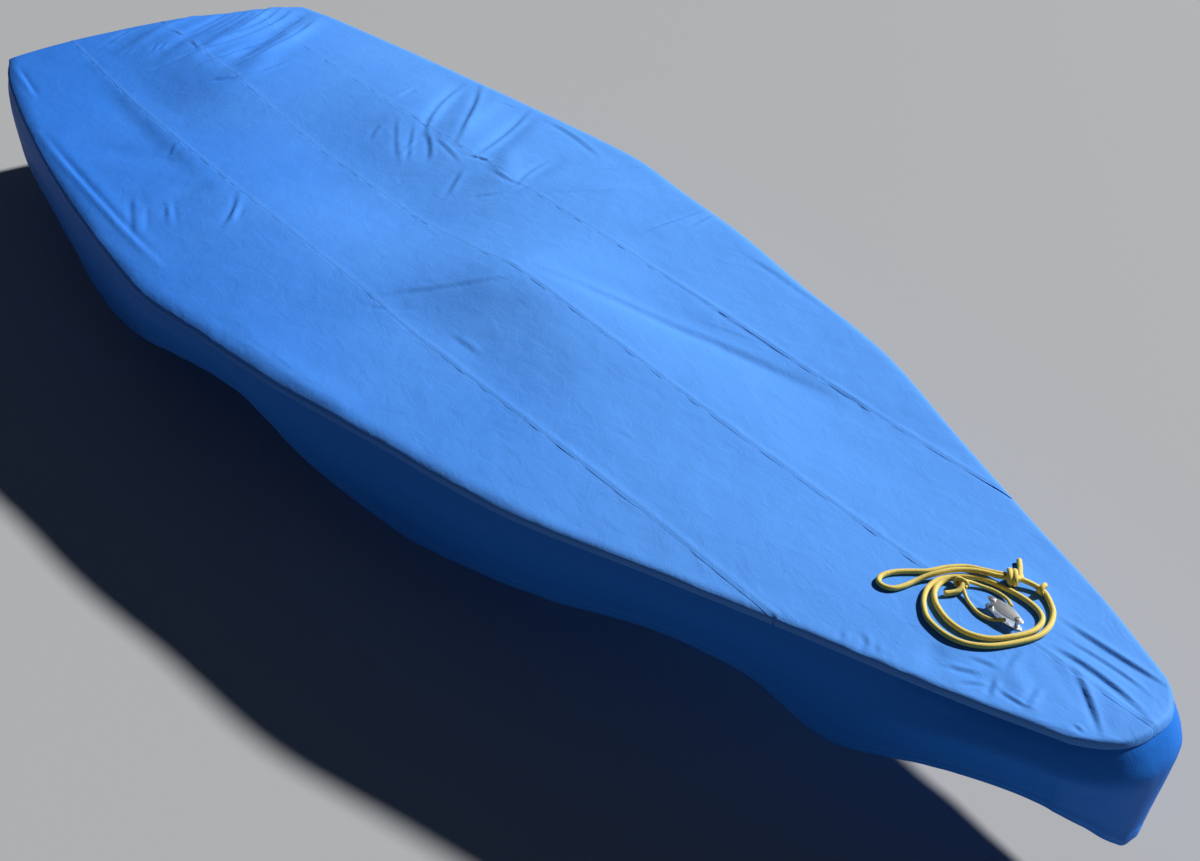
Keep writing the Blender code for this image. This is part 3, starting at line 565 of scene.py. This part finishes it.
def roundEdges(piece, width):
    edge = piece.modifiers.new("rounded edge", "BEVEL")
    edge.width, edge.segments = width, 3
    edge.limit_method, edge.angle_limit = "ANGLE", math.radians(50)
    bpy.ops.object.modifier_apply(modifier=edge.name)


def buildFitting():
    start, end = Vector(fitting["from"]), Vector(fitting["to"])
    middle, along = (start + end) / 2, end - start
    half = along.length / 2
    upper = fitting["gap"] + fitting["plate"]
    face = fitting["gap"] + fitting["plate"] * 1.5      # the upper cheek's outer face
    parts = []
    for level in (0.0, upper):
        deselectAll()
        bpy.ops.mesh.primitive_circle_add(vertices=56, radius=1.0, fill_type="NGON", location=(0, 0, 0))
        cheek = bpy.context.object
        for vert in cheek.data.vertices:
            share, rise = vert.co.x, vert.co.y
            wide = fitting["halfWidth"] * (0.30 + 0.70 * math.cos(math.pi / 2 * abs(share)) ** 1.2)
            wide *= math.copysign(min(1.0, abs(rise) * 2.2), rise)
            vert.co = (share * half, wide, level - fitting["plate"] / 2)
        bpy.ops.object.mode_set(mode="EDIT")
        bpy.ops.mesh.select_all(action="SELECT")
        bpy.ops.mesh.extrude_region_move(TRANSFORM_OT_translate={"value": (0, 0, fitting["plate"])})
        bpy.ops.mesh.select_all(action="SELECT")
        bpy.ops.mesh.normals_make_consistent(inside=False)
        bpy.ops.object.mode_set(mode="OBJECT")
        roundEdges(cheek, fitting["cheekEdge"])
        parts.append(cheek)
    for share in fitting["pinShares"]:
        for radius, low, high in ((fitting["pinRadius"], 0.0, upper),
                                  (fitting["headRadius"], face, face + fitting["headHeight"])):
            deselectAll()
            bpy.ops.mesh.primitive_cylinder_add(vertices=28, radius=radius, depth=high - low,
                                                location=(share * half, 0, (low + high) / 2))
            pin = bpy.context.object
            roundEdges(pin, fitting["pinEdge"])
            parts.append(pin)
    deselectAll()
    for part in parts:
        part.select_set(True)
    bpy.context.view_layer.objects.active = parts[0]
    bpy.ops.object.transform_apply()
    bpy.ops.object.join()
    whole = bpy.context.object
    whole.name = whole.data.name = "line_fitting"
    whole.rotation_euler.z = math.atan2(along.y, along.x)
    lower = cover["levelHeight"] + 0.0005 + fitting["plate"] / 2
    whole.location = (middle.x - cover["fromTransom"], middle.y, lower - cover["originHeight"])
    bpy.ops.object.transform_apply()
    bpy.ops.object.shade_smooth_by_angle(angle=math.radians(35))
    whole.data.materials.append(steelMaterial)
    return whole


lineFitting = buildFitting()
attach(lineFitting, "root")
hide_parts("bow_line_fitting")
print("fitting made")

# Cloth of the cover and how it is sewn.
cloth = {
    "thickness": 0.0009,
    "lap": 0.006,               # each seam laps this far either way
    "lapLift": 0.0003,          # the upper cloth lies this far above the rest
    "seamRidge": 0.0011,        # and stands up this much more beside the seam
    "seamStrength": (0.30, 0.85),       # the seams show less aft than forward
    "turnDown": 0.009,          # the top's edge is turned down outside the skirt
    "turnOut": 0.0022,          # and stands out this far
    "lowerTurnOut": 0.0010,     # or this far where a panel lies under its neighbour
    "underTop": 0.0019,         # the skirt's upper edge lies this far under the top
    "pinch": 0.0036,            # and is drawn in this far
    "hemWidth": 0.022,
    "hemDoubling": 0.0007,
    "skirtMap": 2.0,            # the skirts' cloth map lies this far along from the top's
    "plain": 0.012,             # on the sewing map, too far from an edge for a stitch
    # the mesh's first places in from a seam and from the rolled edge
    "seamSteps": (0.0, 0.0030, 0.0046, 0.0060, 0.0085, 0.012, 0.018),
    "rollSteps": (0.0, 0.0015, 0.004, 0.007, 0.011, 0.016, 0.022, 0.029, 0.037, 0.046),
    "fineRows": ((2600, 6.6), (3700, 9.5), (4215, 4.8), (4278, 3.5)),       # rows of the mesh: up to x, apart
    # x, starboard depth, port depth, tuck
    "hem": (
        (0, 185, 195, -8), (450, 205, 210, -6), (850, 220, 190, 6), (1100, 226, 170, 12),
        (1250, 262, 160, 15), (1450, 264, 165, 19), (1650, 240, 195, 24), (1820, 195, 225, 26),
        (1980, 146, 225, 24), (2150, 125, 205, 21), (2320, 112, 170, 18), (2450, 140, 155, 20),
        (2600, 186, 150, 22), (2900, 241, 185, 26), (3100, 215, 215, 25), (3400, 172, 215, 21),
        (3580, 150, 185, 18), (3680, 160, 170, 18), (3870, 226, 185, 20), (4030, 178, 225, 12),
        (4140, 153, 250, 4), (4200, 156, 265, 0), (4250, 178, 268, -4), (4270, 205, 258, -7),
        (4276.2, 223, 248, -9), (4278, 236, 236, -12),
    ),
    "transomHem": 0.190,
    "bulge": 0.012,
    "noseBulge": 0.028,
    "bulgePeak": 0.35,
    # x, and how far below the edge the skirt's ridge runs there
    "bowRidge": ((3700, 160), (3850, 135), (3950, 95), (4030, 72), (4150, 55), (4278, 60)),
}

fineRows = np.zeros(1)
for end, step in np.array(cloth["fineRows"]) / 1000:
    count = int(round((end - fineRows[-1]) / step))
    fineRows = np.append(fineRows, np.linspace(fineRows[-1], end, count + 1)[1:])
edgeY = rowPoint(fineRows, 1.0)[1]
seamY = sectionAt(6, fineRows)
tipRow = int(np.argmax(edgeY - seamY < 0.004))      # the side seam has run off the edge from here on
aftStrength, foreStrength = cloth["seamStrength"]
seamStrength = aftStrength + (foreStrength - aftStrength) * blend(fineRows, 2.2, 2.7)


def acrossPlaces(width, near, far, middle):
    # distances across a panel, close together at both edges, for each row's width
    scale = np.minimum(1.0, 0.8 * width / (near[-1] + far[-1]))[:, None]
    low, high = np.array(near) * scale, width[:, None] - np.array(far[::-1]) * scale
    t = np.linspace(0, 1, middle + 1)[1:-1]
    return np.concatenate([low, low[:, -1:] * (1 - t) + high[:, :1] * t, high], axis=1)


def lapped(away, upper, strength):
    # extra height of a panel at a distance from its sewn edge; the lower cloth dips under the upper
    ridge = cloth["seamRidge"] * strength * np.exp(-(((away - 0.004) / 0.0065) ** 2))
    lift = cloth["lapLift"] * (0.3 + 0.7 * strength) * (1 - blend(away, 0.002, 0.016))
    dip = -(cloth["thickness"] + 0.0003) * (1 - blend(away, 0.0046, 0.0060))
    return ridge + lift if upper else dip


def giveThickness(piece):
    thick = piece.modifiers.new("cloth thickness", "SOLIDIFY")
    thick.thickness, thick.offset = cloth["thickness"], -1.0
    bpy.ops.object.modifier_apply(modifier=thick.name)
    bpy.ops.object.shade_smooth_by_angle(angle=math.radians(60))
    return piece


def puckers(x, y, away, seed):
    # the cloth gathers a little where it is sewn
    return 0.0006 * lumps(x, y * 0.3, 0.032, seed) * np.exp(-np.abs(away) / 0.030)


def topPanel(name, side, rows, nearY, farY, nearUpper, farUpper, steps, seed):
    # farUpper None: the far edge is the top's own, which is turned down outside the skirt
    width = farY - nearY
    away = acrossPlaces(width, *steps)
    onEdge = farY >= edgeY[rows] - 0.001        # rows whose far edge is the top's own
    lap = cloth["lap"] * np.minimum(1.0, width / 0.05)[:, None]
    y = nearY[:, None] + away
    strength = seamStrength[rows][:, None]
    nearAway, farAway = away.copy(), width[:, None] - away
    y[:, :1] -= lap
    nearAway[:, :1] -= lap
    if farUpper is not None:
        farLap = np.where(onEdge[:, None], 0.0, lap)
        y[:, -1:] += farLap
        farAway[:, -1:] -= farLap
    share = y / edgeY[rows][:, None]
    x, yy = rowPoint(fineRows[rows][:, None], share)
    z = clothHeight(x, side * yy).reshape(share.shape)
    fade = blend(width, 0.004, 0.05)[:, None]
    z += fade * (lapped(nearAway, nearUpper, strength) + puckers(x, side * yy, nearAway, seed))
    if farUpper is not None:
        sewn = lapped(farAway, farUpper, strength) + puckers(x, side * yy, farAway, seed + 7)
        z += np.where(onEdge[:, None], 0.0, sewn)
    points = inPart(x, side * yy, z)
    # turned down edge, outside the skirt
    down = points[:, -1:].copy()
    aheadX, aheadY = np.gradient(x[:, -1]), np.gradient(yy[:, -1])
    outBy = np.where(onEdge, cloth["turnOut"], 0.0) / np.maximum(np.hypot(aheadX, aheadY), 1e-9)
    down[:, 0, 0] -= aheadY * outBy
    down[:, 0, 1] += side * aheadX * outBy
    down[:, 0, 2] -= np.where(onEdge, cloth["turnDown"], 0.0004)
    points = np.concatenate([points, down], axis=1)
    nearest = np.minimum(np.abs(nearAway), np.abs(farAway))
    nearest = np.concatenate([nearest, np.full_like(nearest[:, :1], cloth["plain"])], axis=1)
    along = np.repeat(fineRows[rows][:, None], points.shape[1], axis=1)
    across = np.concatenate([y, y[:, -1:] + cloth["turnDown"]], axis=1)
    if farUpper is not None:
        # the same edge goes on round the bow, where the lower panel lies under the upper one
        acrossX, acrossY = np.gradient(points[-1, :, 0]), side * np.gradient(points[-1, :, 1])
        under = (np.append(nearAway[-1], 1.0) < cloth["lap"] + 0.0002) & (not nearUpper)
        outBy = np.where(under, cloth["lowerTurnOut"], cloth["turnOut"]) / np.hypot(acrossX, acrossY)
        front = points[-1:].copy()
        front[0, :-1, 0] += (acrossY * outBy)[:-1]
        front[0, :-1, 1] -= (side * acrossX * outBy)[:-1]
        front[0, :-1, 2] -= cloth["turnDown"]
        front[0, -1] = (points[-1, -1] + front[0, -2]) / 2 + (0.0002, 0, 0)
        points = np.concatenate([points, front])
        nearest = np.concatenate([nearest, np.full_like(nearest[:1], cloth["plain"])])
        along = np.concatenate([along, along[-1:] + cloth["turnDown"]])
        across = np.concatenate([across, across[-1:]])
    uvs = {"cloth": np.stack([along, side * across], -1), "sewing": np.stack([along, nearest], -1)}
    return giveThickness(shapedGrid(name, points, uvs, flip=side > 0))


sewnSteps, rollSteps = cloth["seamSteps"], cloth["rollSteps"]
allRows = np.arange(len(fineRows))
outerRows = np.arange(tipRow)
innerFar = np.where(allRows < tipRow, seamY, edgeY)
panels = []
for side, word in ((-1, "starboard"), (1, "port")):
    inner = topPanel("cover_top_inner_" + word, side, allRows, np.zeros(len(allRows)), innerFar,
                     side > 0, side < 0, (sewnSteps, sewnSteps, 42), 20 + side)
    outer = topPanel("cover_top_outer_" + word, side, outerRows, seamY[outerRows], edgeY[outerRows],
                     side > 0, None, (sewnSteps, rollSteps, 44), 30 + side)
    for piece, node in ((inner, "top_inner_" + word), (outer, "top_outer_" + word)):
        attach(piece, "root")
        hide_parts(node)
        panels.append(piece)
print("top panels made")


def skirtOut(share, deep, bulge, tuck):
    # how far the skirt stands out at a share of its depth
    swell = bulge * np.sin(np.pi * share ** (math.log(0.5) / math.log(cloth["bulgePeak"])))
    return swell - tuck * share**1.5 - cloth["pinch"] * (1 - blend(deep, 0.010, 0.050))


def hang(wide, deep, share, size, seed):
    # slow waves that grow towards the hem; size gives the heights of the long and the short ones
    long, short = lumps(wide, deep * 0.25, 0.21, seed), lumps(wide, deep * 0.4, 0.075, seed + 1)
    return share * (size[0] * long + size[1] * short)


def hemDoubled(deep, depth):
    # the hem is turned up, so it is thicker there
    return cloth["hemDoubling"] * blend(cloth["hemWidth"] + 0.001 - (depth[:, None] - deep), 0.0, 0.0012)


def skirtPlaces(depth):
    # distances below the top's edge, close together at the seam and in the hem
    hem = cloth["hemWidth"]
    top = [0.0, 0.004, 0.008, 0.013]
    low = [hem + 0.0015, hem, hem * 0.5, 0.003, 0.0]
    t = np.linspace(0, 1, 15)[1:-1]
    above = np.tile(top, (len(depth), 1))
    below = depth[:, None] - np.array(low)
    return np.concatenate([above, above[:, -1:] * (1 - t) + below[:, :1] * t, below], axis=1)


def finishSkirt(name, points, run, deep, depth, flip):
    along = np.repeat(run[:, None], deep.shape[1], 1)
    toSewing = np.minimum(np.abs(depth[:, None] - deep - cloth["hemWidth"] + 0.0035), deep + 0.1)
    uvs = {"cloth": np.stack([along, deep + cloth["skirtMap"]], -1),
           "sewing": np.stack([along, toSewing], -1)}
    return giveThickness(shapedGrid(name, points, uvs, flip=flip))


def sideSkirt(name, side, column, seed):
    # along the top's edge to the bow, and round it to the centreline
    places = 29
    shares = np.append(np.ones(len(fineRows)), np.linspace(1, 0, places + 1)[1:])
    x, y = rowPoint(np.append(fineRows, np.full(places, cover["length"])), shares)
    run = np.concatenate([[0], np.cumsum(np.hypot(np.diff(x), np.diff(y)))])
    outX, outY = -np.gradient(y), np.gradient(x)
    outX[-1], outY[-1] = 1.0, 0.0
    length = np.hypot(outX, outY)
    outX, outY = outX / length, outY / length
    topZ = clothHeight(x, side * y) - cloth["underTop"]
    depth = fromTable(cloth["hem"], column, x) + 0.0022 * lumps(run, 0 * run, 0.09, seed)
    tuck = fromTable(cloth["hem"], 3, x)
    bulge = cloth["bulge"] + blend(x, 3.95, 4.25) * (cloth["noseBulge"] - cloth["bulge"])
    deep = skirtPlaces(depth)
    share = deep / depth[:, None]
    out = skirtOut(share, deep, bulge[:, None], tuck[:, None])
    # round the bow the cloth stands out to a ridge and falls back below it to a narrow stem
    ridge = fromTable(cloth["bowRidge"], 1, x)[:, None]
    high = cloth["noseBulge"]
    rise = high * deep / ridge
    fall = high - (high + tuck[:, None]) * (deep - ridge) / (depth[:, None] - ridge)
    peaked = (rise + fall - np.hypot(rise - fall, 0.004)) / 2
    peaked -= cloth["pinch"] * (1 - blend(deep, 0.004, 0.020))
    bow = blend(x, 3.80, 4.06)[:, None]
    out += bow * (peaked - out)
    wide = run[:, None]
    small = blend(deep, 0.0, 0.04) * 0.0007 * lumps(wide, deep, 0.035, seed + 3)
    quiet = blend(run[-1] - run, 0.0, 0.10)[:, None] * blend(run, 0.0, 0.05)[:, None]
    out += quiet * (hang(wide, deep, share, (0.0040, 0.0016), seed + 1) + small) + hemDoubled(deep, depth)
    # at the transom corner it meets the stern skirt
    stern = (1.0 - blend(x, 0.0, 0.12))[:, None]
    sternOut = skirtOut(share, deep, cloth["bulge"], cloth["hem"][0][3] / 1000)
    px = x[:, None] + outX[:, None] * out - stern * sternOut
    py = y[:, None] + outY[:, None] * out
    py[-1] = 0.0
    points = inPart(px, side * py, topZ[:, None] - deep)
    return finishSkirt(name, points, run, deep, depth, side > 0), float(run[-1])


for side, word, column in ((-1, "starboard", 1), (1, "port", 2)):
    skirt, skirtRun = sideSkirt("cover_skirt_" + word, side, column, 50 + 10 * side)
    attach(skirt, "root")
    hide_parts(*["skirt_" + word + "_" + length for length in ("aft", "waist", "fore", "bow")])
    panels.append(skirt)


def sternSkirt(name):
    half = float(sectionAt(1, np.array([0.0]))[0]) - 0.0026
    across = np.linspace(-1, 1, 130)
    y = across * half
    topZ = clothHeight(np.zeros_like(y), y) - cloth["underTop"]
    hem = np.array(cloth["hem"][0]) / 1000
    depth = cloth["transomHem"] + (hem[2] - hem[1]) / 2 * across + 0.0018 * lumps(y, 0 * y, 0.09, 81)
    deep = skirtPlaces(depth)
    share = deep / depth[:, None]
    out = skirtOut(share, deep, cloth["bulge"], hem[3])
    quiet = blend(1 - np.abs(across), 0.0, 0.12)[:, None]
    bent = out + quiet * hang(y[:, None], deep, share, (0.0040, 0.0014), 82) + hemDoubled(deep, depth)
    px = cover["transomRound"] * np.abs(across)[:, None] ** 8 - bent
    py = across[:, None] * (half + out)
    return finishSkirt(name, inPart(px, py, topZ[:, None] - deep), y + 0.6, deep, depth, True)


transomSkirt = sternSkirt("cover_skirt_transom")
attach(transomSkirt, "root")
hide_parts("skirt_transom")
panels.append(transomSkirt)
print("skirts made")

# coated woven polyester: dense plain weave with a thin coating. A strong, nearly matt blue with painted
# light, paler towards port and the bow, with painted shade in a deeper blue on the skirts, fine soft crinkles
# all over, and sewing thread a little lighter than the cloth
clothLook = {
    "blue": "#4283DE",
    "paintedLit": "#5494E9",         # painted light: the top is paler towards port, where the lamp is, and towards the bow
    # painted shade: the top is a deeper blue aft and to starboard, away from the lamp
    "deep": "#3276D6",
    "paintedLightSpread": (0.117, 0.333, 0.25, 0.22),       # painted light per metre forward, to port, at the transom, and how unevenly it lies in patches
    "paintedLightStops": (0.28, 0.46, 0.66),            # where it is painted shade, plain blue and painted light
    "skirt": "#2473D7",         # painted shade: the skirt hangs in the shade and is given its own deeper, more saturated blue, though it is the top's cloth
    "threadSpacing": 0.0024,    # the real weave is about 0.5 mm, drawn coarser so that it shows
    "crinkles": (16, 26),       # in a metre, along and across
    "roughness": (0.48, 0.64),
    "thread": "#5B96E8",
    "threadHalf": 0.0006,       # half the sewing thread's width
    "stitch": 0.006,            # stitch and gap
    "stitchShare": 0.68,
    "stitchRows": (0.0030, 0.0085),
}
clothMaterial, tree, shader = newMaterial("coated_woven_polyester", {
    "Roughness": 0.56, "Specular IOR Level": 0.06})
clothMap = addNode(tree, "UVMap", {"uv_map": "cloth"})
sewingMap = addNode(tree, "UVMap", {"uv_map": "sewing"})
mapParts = addNode(tree, "SeparateXYZ", links={0: clothMap.outputs[0]})
# painted light: the cloth map's place forward and to port, with uneven patches, sets a paler or deeper blue
perForward, perPort, atTransom, unevenly = clothLook["paintedLightSpread"]
forward = addNode(tree, "Math", {"operation": "MULTIPLY_ADD", 1: perForward, 2: atTransom},
                  {0: mapParts.outputs[0]})
paintedLightPlace = addNode(tree, "Math", {"operation": "MULTIPLY_ADD", 1: perPort},
                 {0: mapParts.outputs[1], 2: forward.outputs[0]})
patches = addNode(tree, "TexNoise", {"Scale": 1.6, "Detail": 5.0, "Roughness": 0.55},
                  {"Vector": clothMap.outputs[0]})
uneven = addNode(tree, "Math", {"operation": "MULTIPLY_ADD", 1: unevenly},
                 {0: patches.outputs["Fac"], 2: paintedLightPlace.outputs[0]})
paintedLightRamp = addNode(tree, "ValToRGB", links={"Fac": uneven.outputs[0]})
setStops(paintedLightRamp, clothLook["paintedLightStops"], [clothLook[shade] for shade in ("deep", "blue", "paintedLit")])
# painted shade: the skirts' part of the cloth map takes the deeper blue
skirtShadeMask = addNode(tree, "Math", {"operation": "GREATER_THAN", 1: 0.75 * cloth["skirtMap"]},
                  {0: mapParts.outputs[1]})
paintedLightAndShade = addNode(tree, "Mix", {"data_type": "RGBA", 7: hexColour(clothLook["skirt"])},
                    {0: skirtShadeMask.outputs[0], 6: paintedLightRamp.outputs["Color"]})
weaveScale = addNode(tree, "Mapping", {"Scale": (1 / clothLook["threadSpacing"],) * 2 + (1,)},
                     {"Vector": clothMap.outputs[0]})
warp, weft = [addNode(tree, "TexWave", {"bands_direction": way, "Scale": 0.314, "Distortion": 0.3},
                      {"Vector": weaveScale.outputs[0]}) for way in "XY"]       # one band to each thread
weave = addNode(tree, "Math", {"operation": "MULTIPLY"}, {0: warp.outputs["Fac"], 1: weft.outputs["Fac"]})
crinkleScale = addNode(tree, "Mapping", {"Scale": (*clothLook["crinkles"], 1), "Rotation": (0, 0, 0.5)},
                       {"Vector": clothMap.outputs[0]})
crinkle = addNode(tree, "TexNoise", {"Scale": 1.0, "Detail": 7.0, "Roughness": 0.62, "Distortion": 0.6},
                  {"Vector": crinkleScale.outputs[0]})
sewing = addNode(tree, "SeparateXYZ", links={0: sewingMap.outputs[0]})
stitchWave = addNode(tree, "Math", {"operation": "MULTIPLY", 1: 1 / clothLook["stitch"]},
                     {0: sewing.outputs[0]})
stitchStep = addNode(tree, "Math", {"operation": "FRACT"}, {0: stitchWave.outputs[0]})
stitchOn = addNode(tree, "Math", {"operation": "LESS_THAN", 1: clothLook["stitchShare"]},
                   {0: stitchStep.outputs[0]})
rowsOn = [addNode(tree, "Math", {"operation": "COMPARE", 1: place, 2: clothLook["threadHalf"]},
                  {0: sewing.outputs[1]}) for place in clothLook["stitchRows"]]
eitherRow = addNode(tree, "Math", {"operation": "MAXIMUM"}, {i: on.outputs[0] for i, on in enumerate(rowsOn)})
stitches = addNode(tree, "Math", {"operation": "MULTIPLY"}, {0: eitherRow.outputs[0], 1: stitchOn.outputs[0]})
threaded = addNode(tree, "Mix", {"data_type": "RGBA", 7: hexColour(clothLook["thread"])},
                   {0: stitches.outputs[0], 6: paintedLightAndShade.outputs[2]})
tree.links.new(threaded.outputs[2], shader.inputs["Base Color"])
roughnessRange = addNode(tree, "MapRange", dict(zip(("To Min", "To Max"), clothLook["roughness"])),
                         {"Value": crinkle.outputs["Fac"]})
tree.links.new(roughnessRange.outputs[0], shader.inputs["Roughness"])
weaveBump = addNode(tree, "Bump", {"Strength": 0.12, "Distance": 0.0003}, {"Height": weave.outputs[0]})
crinkleBump = addNode(tree, "Bump", {"Strength": 0.50, "Distance": 0.004},
                      {"Height": crinkle.outputs["Fac"], "Normal": weaveBump.outputs[0]})
stitchBump = addNode(tree, "Bump", {"Strength": 0.5, "Distance": 0.0006},
                     {"Height": stitches.outputs[0], "Normal": crinkleBump.outputs[0]})
tree.links.new(stitchBump.outputs[0], shader.inputs["Normal"])
for piece in panels:
    piece.data.materials.clear()
    piece.data.materials.append(clothMaterial)
print("cloth finished")

# Plain pale floor and soft studio light, with the main lamp low over the port side.
studio = {
    "floorHeight": -0.400,
    "floor": "#A2A5A8",
    "sky": "#A4BEEA",
    "skyStrength": 0.07,
    "keyStrength": 5.8,
    "keyColour": (1.0, 0.97, 0.93),
    "keySoftness": 4.0,         # degrees across
    "keyFrom": (0.14, 1.0),     # in plan
    "keyElevation": 38.0,
}
deselectAll()
bpy.ops.mesh.primitive_plane_add(size=40.0, location=(0, 0, studio["floorHeight"]))
floor = bpy.context.object
floor.name = "studio_floor"
floorMaterial, tree, shader = newMaterial("painted_studio_floor", {
    "Base Color": hexColour(studio["floor"]), "Roughness": 0.85, "Specular IOR Level": 0.2})
floor.data.materials.append(floorMaterial)
world = bpy.data.worlds.new("studio")
bpy.context.scene.world = world
world.use_nodes = True
background = world.node_tree.nodes["Background"]
background.inputs["Color"].default_value = hexColour(studio["sky"])
background.inputs["Strength"].default_value = studio["skyStrength"]
towards = Vector((*studio["keyFrom"], 0)).normalized() * math.cos(math.radians(studio["keyElevation"]))
towards.z = math.sin(math.radians(studio["keyElevation"]))
bpy.ops.object.light_add(type="SUN", location=towards * 6)
key = bpy.context.object
key.name = "key_lamp"
key.data.energy = studio["keyStrength"]
key.data.angle = math.radians(studio["keySoftness"])
key.data.color = studio["keyColour"]
key.rotation_euler = towards.to_track_quat("Z", "Y").to_euler()
print("studio set")
